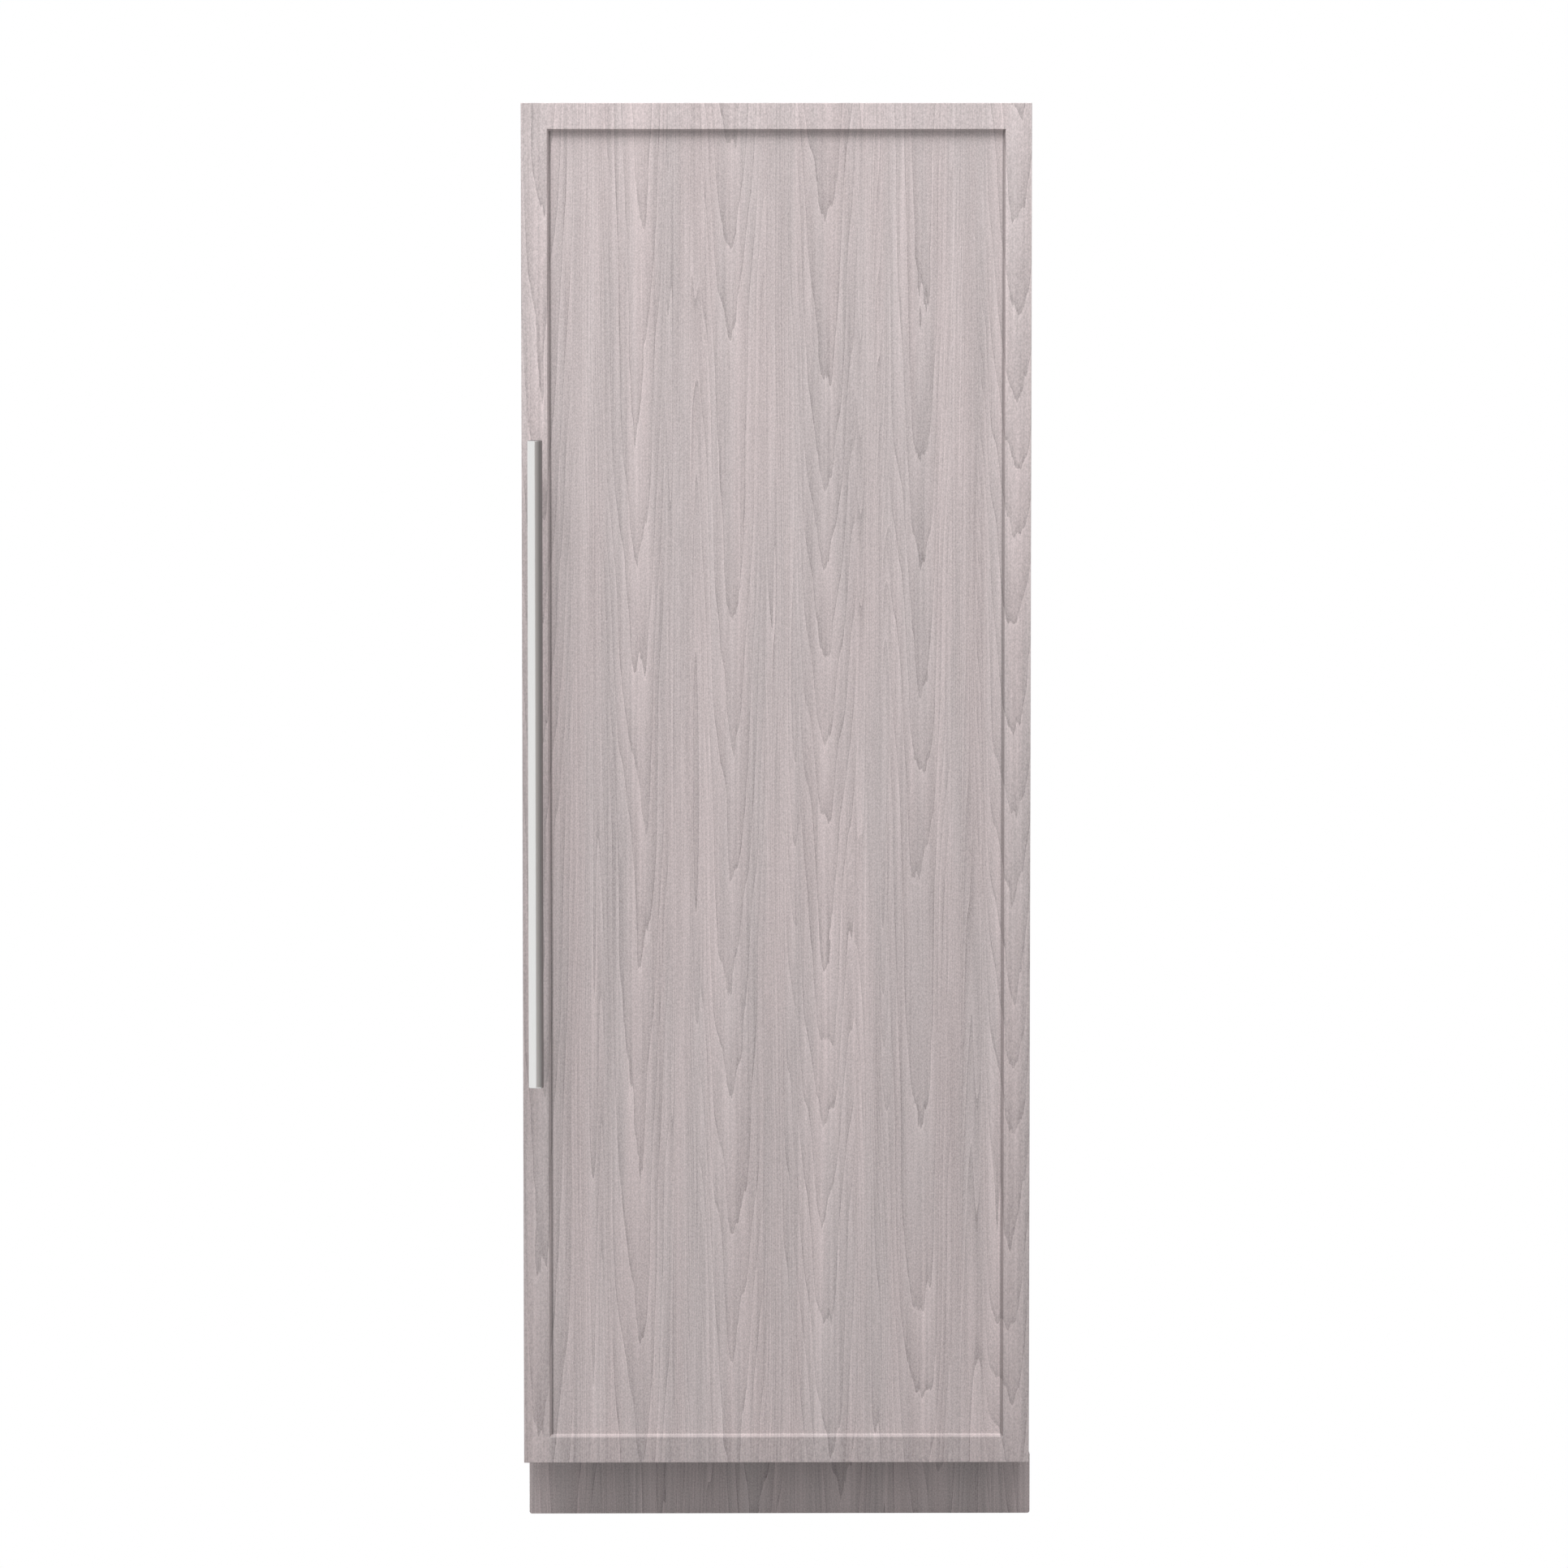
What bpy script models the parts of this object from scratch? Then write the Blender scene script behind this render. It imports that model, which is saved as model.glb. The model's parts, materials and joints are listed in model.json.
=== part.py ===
# Built-in column refrigerator: one door with a wood panel and a bar handle, hinged on the right.
# Metres, +Z up, front towards -Y. The origin is on the floor, under the middle of the whole object.
# Below, x is counted from the door's middle, y from the front of the case, z from the floor.
import math

import bmesh
import bpy
from mathutils import Matrix, Vector

# Gaps and overlaps
SEAT = 0.0003               # between faces that touch
RUN = 0.0003                # round a shaft in its bore
OVERRUN = 0.002             # a cutter past the face it cuts
SINK = 0.001                # between shapes that are joined into one piece

# Case
CASE_WIDTH = 0.752
CASE_DEPTH = 0.548
CASE_HEIGHT = 1.987
CASE_LIFT = 0.125           # floor to the case's underside
SHEET = 0.0012
LINER = 0.002
WALL = 0.045                # sides, top and back, outside of the case to inside of the liner
FLOOR_WALL = 0.045
MACHINE_HEIGHT = 0.165      # compartment under the insulated cabinet
half = CASE_WIDTH / 2
room_half = half - WALL
room_back = CASE_DEPTH - WALL

# Door
GASKET_THICKNESS = 0.010
GASKET_WIDTH = 0.020
GASKET_INSET = 0.012
DOOR_THICKNESS = 0.052
DOOR_INSET = 0.002          # the door box is this much shorter than the case at either end
DOOR_LINER = 0.0022
PANEL_THICKNESS = 0.022
PANEL_SIDE = 0.002          # panel past the case, each side
PANEL_RISE = 0.020          # panel above the case
PANEL_DROP = 0.023          # panel below the case
BORDER = 0.0385
RECESS_DEPTH = 0.009
REVEAL = 0.0035             # width of the recess's slanted edge
PANEL_EDGE = 0.0006

# Handle
HANDLE_RADIUS = 0.011
HANDLE_LENGTH = 0.962
HANDLE_RISE = 0.037         # the bar's middle above the panel's
HANDLE_INSET = 0.0205       # panel's edge to the bar's axis
HANDLE_STAND_OFF = 0.045    # panel's face to the bar's axis
HANDLE_CHAMFER = 0.0008
POST_RADIUS = 0.0075
POST_FROM_END = 0.062

# Toe kick
KICK_PAST_CASE = 0.006      # the kick is this much wider than the case
KICK_WIDTH = CASE_WIDTH + KICK_PAST_CASE
KICK_TOP_GAP = 0.032        # to the case's underside
KICK_HEIGHT = CASE_LIFT - KICK_TOP_GAP
KICK_THICKNESS = 0.016
KICK_SET_BACK = 0.147       # panel's face to the kick's face
KICK_SHIFT = 0.00585        # its middle is this far to the right of the door's
KICK_CORNER = 0.0035
KICK_TAB_IN = 0.156         # tab's ends in from the case's sides
KICK_TAB_WIDTH = CASE_WIDTH - 2 * KICK_TAB_IN
KICK_TAB_DROP = 0.062

# Hinges: arms on a pivot of the case, with the door on a pivot at their other end
CASE_PIVOT_IN = 0.060       # case pivot in from the case's right side
CASE_PIVOT_BACK = 0.012     # case pivot behind the case's front
DOOR_PIVOT_IN = 0.016
DOOR_PIVOT_FROM_FRONT = 0.016
DOOR_PIVOT_FORWARD = GASKET_THICKNESS + DOOR_THICKNESS - DOOR_PIVOT_FROM_FRONT
ARM_HALF_WIDTH = 0.011
ARM_THICKNESS = 0.005
ARM_GAP = 0.0015            # case to arm
PIVOT_RADIUS = 0.004
PIVOT_TIP_GAP = 0.0008      # case to the tip of the case pivot
DOOR_PIN_RADIUS = 0.005
DOOR_PIN_DEPTH = 0.012
DOOR_PIN_COLLAR = 0.008
BRACKET_THICKNESS = 0.004
BRACKET_HALF_WIDTH = 0.020
BRACKET_START = 0.014       # case pivot to the bracket's foot
BRACKET_LENGTH = 0.048
BRACKET_RISER = 0.006

# Base
PAN = 0.002
GRILLE_THICKNESS = 0.008
GRILLE_SLOT = 0.008
GRILLE_BAR = 0.0307         # between the ends of two slots
GRILLE_COLUMNS = 3
GRILLE_ROWS = 7
LOUVRE_SLOT = 0.006
LOUVRE_BAR = 0.0562
LOUVRE_COLUMNS = 3
LOUVRE_ROWS = 7
BASE_SUPPORT_IN = 0.076     # feet and rollers in from the case's sides
BASE_SUPPORT_X = half - BASE_SUPPORT_IN
FOOT_BEHIND_KICK = 0.0363   # kick's back to the foot's axis
FOOT_RADIUS = 0.019
FOOT_HEIGHT = 0.010
FOOT_CONE = 0.006
FOOT_STEM = 0.006
FOOT_STEM_ABOVE = 0.010     # stem above the pan's underside
FOOT_BOSS = 0.012
FOOT_BOSS_DROP = 0.025
FOOT_EDGE = 0.001
ROLLER_FROM_BACK = 0.068
ROLLER_RADIUS = 0.025
ROLLER_WIDTH = 0.020
ROLLER_EDGE = 0.002
AXLE_RADIUS = 0.004
AXLE_PAST_CHEEK = 0.003
CHEEK = 0.003
CHEEK_GAP = 0.001
CHEEK_LENGTH = 0.040
CHEEK_BELOW_AXLE = 0.009
ROLLER_PLATE_LENGTH = 0.060

# Machine compartment
COMPRESSOR_IN = 0.171       # case's left side to its axis
COMPRESSOR_X = -half + COMPRESSOR_IN
COMPRESSOR_FROM_BACK = 0.213
COMPRESSOR_Y = CASE_DEPTH - COMPRESSOR_FROM_BACK
COMPRESSOR_RADIUS = 0.068
COMPRESSOR_HEIGHT = 0.118
COMPRESSOR_DOME_SHARE = 0.35     # of its radius
COMPRESSOR_PLATE = (0.170, 0.124, 0.003)
COMPRESSOR_FOOT_RADIUS = 0.011
COMPRESSOR_FOOT_HEIGHT = 0.010
COMPRESSOR_FOOT_IN = 0.013
CONDENSER_IN = 0.226        # case's right side to its middle
CONDENSER_X = half - CONDENSER_IN
CONDENSER_WIDTH = 0.070
CONDENSER_TOP_GAP = 0.0227
CONDENSER_FRONT_GAP = 0.035 # evaporation tray to the condenser
CONDENSER_BACK_GAP = 0.103
CONDENSER_FIN = 0.003
CONDENSER_FIN_PITCH = 0.010
CONDENSER_HEADER = 0.012
FAN_FRAME_BORDER = 0.008
CONDENSER_FAN_TOP_GAP = 0.0307
CONDENSER_FAN_RADIUS = (MACHINE_HEIGHT - PAN - SEAT - CONDENSER_FAN_TOP_GAP) / 2 - FAN_FRAME_BORDER
EVAPORATOR_FAN_RADIUS = 0.042
FAN_FRAME_DEPTH = 0.020
FAN_TIP_GAP = 0.003
FAN_STRUT = 0.006
FAN_MOTOR_RADIUS = 0.015
FAN_HUB_RADIUS = 0.014
FAN_HUB_DEPTH = 0.010
FAN_SHAFT_RADIUS = 0.0025
FAN_SHAFT_LENGTH = 0.006
FAN_BLADE_THICKNESS = 0.0015
FAN_BLADE_CHORD = 0.020
FAN_BLADES = 5
FAN_PITCH_DEG = 22.0
TRAY_LOW = (-0.080, 0.060)
TRAY_SIZE = (0.240, 0.120, 0.030)
TRAY_WALL = 0.002
INLET_IN = 0.106            # case's right side to its middle
INLET_X = half - INLET_IN
INLET_RISE = 0.060          # its middle above the pan
INLET_SIZE = (0.030, 0.026, 0.022)
INLET_FLANGE = 0.005
INLET_FLANGE_THICKNESS = 0.0025
INLET_WALL = 0.003
INLET_RECESS_DEPTH = 0.015

# Cold side
DUCT_LADDER_GAP = 0.015     # duct cover to the shelf ladders
DUCT_DEPTH = 0.053
DUCT_WALL = 0.0025
DUCT_BOTTOM_RISE = 0.030    # above the drawers' cover
DUCT_TOP_GAP = 0.010
DUCT_SLOT = 0.006
DUCT_SLOT_PITCH = 0.012
DUCT_SLOTS = 7
DUCT_SLOT_HEIGHT = 0.070
DUCT_RETURN_HEIGHT = 0.040
DUCT_RETURN_RISE = 0.030
DUCT_FAN_DROP = 0.120       # room's ceiling to the fan's axis
EVAPORATOR_SIDE_GAP = 0.0785     # inside of the duct cover to the evaporator
EVAPORATOR_DEPTH = 0.036
EVAPORATOR_HEIGHT = 0.400
EVAPORATOR_DROP = 0.220     # room's ceiling to the evaporator's top
EVAPORATOR_FIN = 0.004
EVAPORATOR_FIN_PITCH = 0.015
EVAPORATOR_WEB = 0.006      # left behind the gaps between the fins

# Storage
DRAWER_SIDE_ROOM = 0.0405   # room's side to the drawer, for the housing and its gap
DRAWER_HALF_WIDTH = room_half - DRAWER_SIDE_ROOM
DRAWER_SET_BACK = 0.090     # case's front to the drawers' fronts
DRAWER_BACK_GAP = 0.023     # drawers to the room's back
DRAWER_DEPTH = room_back - DRAWER_SET_BACK - DRAWER_BACK_GAP
DRAWER_HEIGHT = 0.216
DRAWER_WALL = 0.003
DRAWER_FRONT = 0.012
DRAWER_FRONT_LIP = 0.007    # drawer front above its bin
DRAWER_FLOOR_GAP = 0.008
DRAWER_SPACING = 0.026
DRAWER_LIP_GAP = 0.003
DRAWER_TOP_GAP = DRAWER_FRONT_LIP + DRAWER_LIP_GAP
DRAWER_SIDE_GAP = 0.0035
RUNNER_WIDTH = 0.008        # flange on the bin's side that runs in the housing
RUNNER_HEIGHT = 0.004
RUNNER_DROP = 0.030         # bin's top to the flange
RUNNER_LEAD = 0.140         # bin's front to the flange, which clears the open door's gasket
HOUSING_LEAD = 0.002        # housing's front ahead of the drawers' fronts
HOUSING_TAIL = 0.012
COVER_GLASS = 0.005
GLASS = 0.004
SHELF_SIDE_GAP = 0.009
SHELF_BIN_GAP = 0.0217      # door bins to the shelves
SHELF_BAR = 0.012
SHELF_FRAME_HEIGHT = 0.016
SHELF_LEDGE = 0.005
SHELF_GLASS_SINK = 0.001    # glass below the frame's top
SHELF_TO_DUCT = 0.004
SHELF_HOOK_WIDTH = 0.006
SHELF_HOOK_HEIGHT = 0.012
SHELF_HOOK_BITE = 0.008
SHELF_HOOK_LIFT = 0.0015    # play that lets the hook out of its slot
SHELF_HOOK_SIDE_GAP = 0.00075
SHELF_HOOK_END_GAP = 0.002
SHELF_SHARES = (0.165, 0.400, 0.635)     # of the height between the drawers' cover and the ceiling
SHELF_NAMES = ("lower", "middle", "upper")
LADDER_IN = 0.047           # room's side to the ladder's middle
LADDER_X = room_half - LADDER_IN
LADDER_WIDTH = 0.014
LADDER_DEPTH = 0.032
LADDER_RISE = 0.030
LADDER_TOP_GAP = 0.040
LADDER_SLOT = SHELF_HOOK_HEIGHT + SHELF_HOOK_LIFT
LADDER_SLOT_PITCH = 0.032
LADDER_SLOT_DEPTH = SHELF_HOOK_BITE + SHELF_HOOK_END_GAP
LADDER_SLOT_WIDTH = SHELF_HOOK_WIDTH + 2 * SHELF_HOOK_SIDE_GAP
LED_WIDTH = 0.008
LED_DEPTH = 0.028
LED_SET_BACK = 0.012
LED_END_GAP = 0.035
CONTROL_WIDTH = 0.300
CONTROL_DEPTH = 0.060
CONTROL_HEIGHT = 0.022
CONTROL_SET_BACK = 0.020
CONTROL_EDGE = 0.003

# Door bins
BIN_SIDE_ROOM = 0.063       # room's side to the bin, with the door shut
BIN_HALF_WIDTH = room_half - BIN_SIDE_ROOM
BIN_DEPTH = 0.098
BIN_HEIGHT = 0.100
BIN_WALL = 0.003
BIN_SHARES = (0.150, 0.410, 0.670)       # of the height between the drawers' cover and the ceiling
BIN_RAIL_WIDTH = 0.020
BIN_RAIL_DEPTH = 0.055
BIN_RAIL_END = 0.060        # rail past the lowest and highest bin
BIN_LUG_REACH = 0.008
BIN_LUG_HEIGHT = 0.014
BIN_LUG_DEPTH = 0.020
BIN_LUG_RISE = 0.040        # bin's floor to its lug

ROUND_SIDES = 24
SMALL_SIDES = 12
SMOOTH_ANGLE = math.radians(35)

# Colours as linear values
WOOD = (0.47, 0.42, 0.425)
WHITE_PLASTIC = (0.80, 0.81, 0.82)
GREY_PLASTIC = (0.42, 0.43, 0.44)
DARK_PLASTIC = (0.05, 0.05, 0.055)
CLEAR_PLASTIC = (0.75, 0.80, 0.82)
PALE_GLASS = (0.72, 0.80, 0.80)
GALVANISED = (0.52, 0.54, 0.55)
STAINLESS = (0.62, 0.62, 0.61)
ALUMINIUM = (0.68, 0.69, 0.70)
FOAM = (0.75, 0.70, 0.52)
BLACK_PAINT = (0.03, 0.03, 0.03)
ZINC = (0.50, 0.51, 0.53)
RUBBER = (0.55, 0.56, 0.57)
LAMP = (0.90, 0.92, 0.95)

# Places worked out from the sizes
case_bottom = CASE_LIFT
case_top = CASE_LIFT + CASE_HEIGHT
inside_sheet = half - SHEET - SEAT
machine_floor = case_bottom + PAN
machine_top = case_bottom + MACHINE_HEIGHT
room_floor = machine_top + FLOOR_WALL
room_top = case_top - WALL

door_inner = -GASKET_THICKNESS
door_front = door_inner - DOOR_THICKNESS
door_bottom = case_bottom + DOOR_INSET
door_top = case_top - DOOR_INSET
panel_back = door_front - SEAT
panel_face = panel_back - PANEL_THICKNESS
panel_half = half + PANEL_SIDE
panel_bottom = case_bottom - PANEL_DROP
panel_top = case_top + PANEL_RISE
handle_x = -panel_half + HANDLE_INSET
handle_y = panel_face - HANDLE_STAND_OFF
handle_middle = (panel_bottom + panel_top) / 2 + HANDLE_RISE
kick_front = panel_face + KICK_SET_BACK
kick_back = kick_front + KICK_THICKNESS
foot_y = kick_back + FOOT_BEHIND_KICK

case_pivot = Vector((half - CASE_PIVOT_IN, CASE_PIVOT_BACK, 0))
door_pivot = Vector((half - DOOR_PIVOT_IN, -DOOR_PIVOT_FORWARD, 0))

drawer_bottoms = (
    room_floor + DRAWER_FLOOR_GAP,
    room_floor + DRAWER_FLOOR_GAP + DRAWER_HEIGHT + DRAWER_SPACING,
)
housing_top = drawer_bottoms[1] + DRAWER_HEIGHT + DRAWER_TOP_GAP
cover_top = housing_top + SEAT + COVER_GLASS
shelf_room = room_top - cover_top
duct_front = room_back - DUCT_DEPTH
shelf_back = duct_front - SHELF_TO_DUCT
ladder_front = room_back - LADDER_DEPTH
duct_half = LADDER_X - LADDER_WIDTH / 2 - DUCT_LADDER_GAP

left_end = -panel_half
right_end = max(panel_half, KICK_SHIFT + KICK_WIDTH / 2)
front_end = handle_y - HANDLE_RADIUS
middle_x = (left_end + right_end) / 2
middle_y = (front_end + CASE_DEPTH) / 2

for old in list(bpy.data.objects):
    bpy.data.objects.remove(old)


def empty(name, place, parent=None):
    # A named point: the whole object's origin, or a moving body's joint axis.
    point = bpy.data.objects.new(name, None)
    bpy.context.scene.collection.objects.link(point)
    point.parent = parent
    point.location = place
    return point


refrigerator = empty("refrigerator", (-middle_x, -middle_y, 0))


def paint(piece, colour, roughness, metallic=0.0, alpha=1.0):
    finish = bpy.data.materials.new(piece.name + "_finish")
    finish.use_nodes = True
    shader = finish.node_tree.nodes["Principled BSDF"]
    shader.inputs["Base Color"].default_value = (*colour, 1.0)
    shader.inputs["Roughness"].default_value = roughness
    shader.inputs["Metallic"].default_value = metallic
    shader.inputs["Alpha"].default_value = alpha
    piece.data.materials.append(finish)


def piece_from(name, shape, carrier, origin):
    # Turns a bmesh drawn in the case's coordinates into an object with its origin at the given point.
    origin = Vector(origin)
    carrier_place = Vector() if carrier is refrigerator else carrier.location
    bmesh.ops.translate(shape, verts=shape.verts, vec=-origin)
    bmesh.ops.recalc_face_normals(shape, faces=shape.faces)
    mesh = bpy.data.meshes.new(name)
    shape.to_mesh(mesh)
    shape.free()
    piece = bpy.data.objects.new(name, mesh)
    bpy.context.scene.collection.objects.link(piece)
    piece.parent = carrier
    piece.location = origin - carrier_place
    return piece


def guide_from(name, shape):
    guide = piece_from(name, shape, refrigerator, (0, 0, 0))
    guide.hide_render = True
    guide.display_type = "WIRE"
    return guide


def combine(piece, guide, operation):
    step = piece.modifiers.new(guide.name, "BOOLEAN")
    step.operation = operation
    step.object = guide


def cut(piece, shape, label):
    combine(piece, guide_from(piece.name + "_" + label, shape), "DIFFERENCE")


def join(piece, shape, label):
    combine(piece, guide_from(piece.name + "_" + label, shape), "UNION")


def soften(piece, width, segments=2):
    edge = piece.modifiers.new("soft_edges", "BEVEL")
    edge.width = width
    edge.segments = segments
    edge.limit_method = "ANGLE"


def shade_round(piece):
    piece.data.shade_smooth()
    piece.data.set_sharp_from_angle(angle=SMOOTH_ANGLE)


def add_box(shape, low, high, turn=None):
    # Adds a box between two corners, turned about its own middle where a matrix is given.
    low = Vector(low)
    high = Vector(high)
    made = bmesh.ops.create_cube(shape, size=1.0)["verts"]
    bmesh.ops.scale(shape, verts=made, vec=high - low)
    if turn:
        bmesh.ops.transform(shape, verts=made, matrix=turn)
    bmesh.ops.translate(shape, verts=made, vec=(low + high) / 2)
    return shape


def add_rod(shape, start, end, radius, sides=ROUND_SIDES):
    # Adds a cylinder between two points.
    start = Vector(start)
    end = Vector(end)
    run = end - start
    made = bmesh.ops.create_cone(
        shape, cap_ends=True, segments=sides, radius1=radius, radius2=radius, depth=run.length
    )["verts"]
    aim = Vector((0, 0, 1)).rotation_difference(run).to_matrix().to_4x4()
    bmesh.ops.transform(shape, verts=made, matrix=Matrix.Translation((start + end) / 2) @ aim)
    return shape


def add_turned(shape, profile, aim=None, sides=ROUND_SIDES):
    # Adds a solid turned about Z from (radius, height) points, bottom to top; both ends lie on the axis.
    rings = []
    made = []
    for radius, height in profile:
        count = sides if radius > 0 else 1
        ring = []
        for i in range(count):
            angle = math.tau * i / count
            ring.append(shape.verts.new((radius * math.cos(angle), radius * math.sin(angle), height)))
        rings.append(ring)
        made += ring
    for lower, upper in zip(rings, rings[1:]):
        for i in range(sides):
            j = (i + 1) % sides
            if len(lower) == 1:
                shape.faces.new((lower[0], upper[j], upper[i]))
            elif len(upper) == 1:
                shape.faces.new((lower[i], lower[j], upper[0]))
            else:
                shape.faces.new((lower[i], lower[j], upper[j], upper[i]))
    if aim:
        bmesh.ops.transform(shape, verts=made, matrix=aim)
    return shape


def add_prism(shape, outline, run):
    # Adds a closed outline of points, extruded along a vector.
    face = shape.faces.new([shape.verts.new(point) for point in outline])
    made = bmesh.ops.extrude_face_region(shape, geom=[face])["geom"]
    bmesh.ops.translate(shape, verts=[v for v in made if isinstance(v, bmesh.types.BMVert)], vec=run)
    return shape


def boxes(places):
    shape = bmesh.new()
    for low, high in places:
        add_box(shape, low, high)
    return shape


def rods(places):
    shape = bmesh.new()
    for place in places:
        add_rod(shape, *place)
    return shape


def block(name, low, high, carrier=refrigerator, origin=None):
    if origin is None:
        origin = (Vector(low) + Vector(high)) / 2
    return piece_from(name, boxes([(low, high)]), carrier, origin)


def slot_grid(columns, rows, middle, length, height, spread, depth_low, depth_high):
    # Boxes for rows of slots across X, spread evenly over a width and a height.
    places = []
    for column in range(columns):
        x = middle[0] + spread[0] * ((column + 0.5) / columns - 0.5)
        for row in range(rows):
            z = middle[1] + spread[1] * ((row + 0.5) / rows - 0.5)
            places.append(
                ((x - length / 2, depth_low, z - height / 2), (x + length / 2, depth_high, z + height / 2))
            )
    return places


SIDES = (("left", -1), ("right", 1))


def make_case():
    for side, sign in SIDES:
        outer = sign * half
        inner = sign * (half - SHEET)
        wall = block(
            "case_side_" + side,
            (min(outer, inner), 0, case_bottom),
            (max(outer, inner), CASE_DEPTH, case_top),
        )
        paint(wall, GALVANISED, 0.45, 0.9)

    top = block("case_top", (-inside_sheet, 0, case_top - SHEET), (inside_sheet, CASE_DEPTH, case_top))
    paint(top, GALVANISED, 0.45, 0.9)

    back = block(
        "back_panel",
        (-inside_sheet, CASE_DEPTH - SHEET, case_bottom),
        (inside_sheet, CASE_DEPTH, case_top - SHEET - SEAT),
    )
    louvre_width = INLET_X - INLET_SIZE[0] / 2 - INLET_FLANGE - LOUVRE_SLOT + inside_sheet
    louvre_middle = (louvre_width / 2 - inside_sheet, (machine_floor + machine_top) / 2)
    cut(
        back,
        boxes(
            slot_grid(
                LOUVRE_COLUMNS, LOUVRE_ROWS, louvre_middle,
                louvre_width / LOUVRE_COLUMNS - LOUVRE_BAR, LOUVRE_SLOT,
                (louvre_width, MACHINE_HEIGHT - PAN), CASE_DEPTH - OVERRUN, CASE_DEPTH + OVERRUN,
            )
        ),
        "louvres",
    )
    inlet_z = machine_floor + INLET_RISE
    reach_x = INLET_SIZE[0] / 2 + SEAT
    reach_z = INLET_SIZE[2] / 2 + SEAT
    cut(
        back,
        boxes([(
            (INLET_X - reach_x, CASE_DEPTH - OVERRUN, inlet_z - reach_z),
            (INLET_X + reach_x, CASE_DEPTH + OVERRUN, inlet_z + reach_z),
        )]),
        "inlet_hole",
    )
    paint(back, GALVANISED, 0.5, 0.9)

    skin = LINER + SEAT
    foam = block(
        "cabinet_foam",
        (-inside_sheet, skin, machine_top),
        (inside_sheet, CASE_DEPTH - SHEET - SEAT, case_top - SHEET - SEAT),
    )
    cut(
        foam,
        boxes([(
            (-room_half - skin, skin - OVERRUN, room_floor - skin),
            (room_half + skin, room_back + skin, room_top + skin),
        )]),
        "room",
    )
    paint(foam, FOAM, 0.9)

    liner = block(
        "inner_liner",
        (-room_half - LINER, 0, room_floor - LINER),
        (room_half + LINER, room_back + LINER, room_top + LINER),
    )
    join(
        liner,
        boxes([((-inside_sheet, 0, machine_top), (inside_sheet, LINER, case_top - SHEET - SEAT))]),
        "flange",
    )
    cut(
        liner,
        boxes([((-room_half, -OVERRUN, room_floor), (room_half, room_back, room_top))]),
        "room",
    )
    paint(liner, WHITE_PLASTIC, 0.3)


def make_base():
    pan = block(
        "base_pan",
        (-inside_sheet, 0, case_bottom),
        (inside_sheet, CASE_DEPTH - SHEET - SEAT, machine_floor),
    )
    tab_front = kick_back + SEAT
    join(
        pan,
        boxes([(
            (-KICK_TAB_WIDTH / 2, tab_front, case_bottom - KICK_TAB_DROP),
            (KICK_TAB_WIDTH / 2, tab_front + PAN, case_bottom + SINK),
        )]),
        "kick_tab",
    )
    stems = [(sign * BASE_SUPPORT_X, foot_y) for _, sign in SIDES]
    boss_low = case_bottom - FOOT_BOSS_DROP
    join(
        pan,
        rods([((x, y, boss_low), (x, y, case_bottom + SINK), FOOT_BOSS) for x, y in stems]),
        "foot_bosses",
    )
    cut(
        pan,
        rods([
            ((x, y, boss_low - OVERRUN), (x, y, machine_floor + OVERRUN), FOOT_STEM + RUN)
            for x, y in stems
        ]),
        "foot_bores",
    )
    paint(pan, GALVANISED, 0.5, 0.9)

    kick_left = KICK_SHIFT - KICK_WIDTH / 2
    kick_right = KICK_SHIFT + KICK_WIDTH / 2
    outline = []
    corners = (
        (kick_left, 0, 1, 1, 180), (kick_right, 0, -1, 1, 270),
        (kick_right, KICK_HEIGHT, -1, -1, 0), (kick_left, KICK_HEIGHT, 1, -1, 90),
    )
    steps = 4
    for x, z, into_x, into_z, start in corners:
        for i in range(steps + 1):
            angle = math.radians(start + 90 * i / steps)
            outline.append((
                x + KICK_CORNER * (into_x + math.cos(angle)),
                kick_front,
                z + KICK_CORNER * (into_z + math.sin(angle)),
            ))
    kick = piece_from(
        "toe_kick_panel",
        add_prism(bmesh.new(), outline, (0, KICK_THICKNESS, 0)),
        refrigerator,
        (KICK_SHIFT, kick_front, 0),
    )
    paint(kick, WOOD, 0.55)

    grille_low = machine_floor + SEAT
    grille_high = machine_top - SEAT
    grille = block(
        "machine_grille",
        (-inside_sheet, 0, grille_low),
        (inside_sheet, GRILLE_THICKNESS, grille_high),
    )
    slots = slot_grid(
        GRILLE_COLUMNS, GRILLE_ROWS, (0, (grille_low + grille_high) / 2),
        2 * room_half / GRILLE_COLUMNS - GRILLE_BAR, GRILLE_SLOT,
        (2 * room_half, grille_high - grille_low), -OVERRUN, GRILLE_THICKNESS + OVERRUN,
    )
    cut(grille, boxes(slots), "slots")
    paint(grille, GREY_PLASTIC, 0.5)


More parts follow.
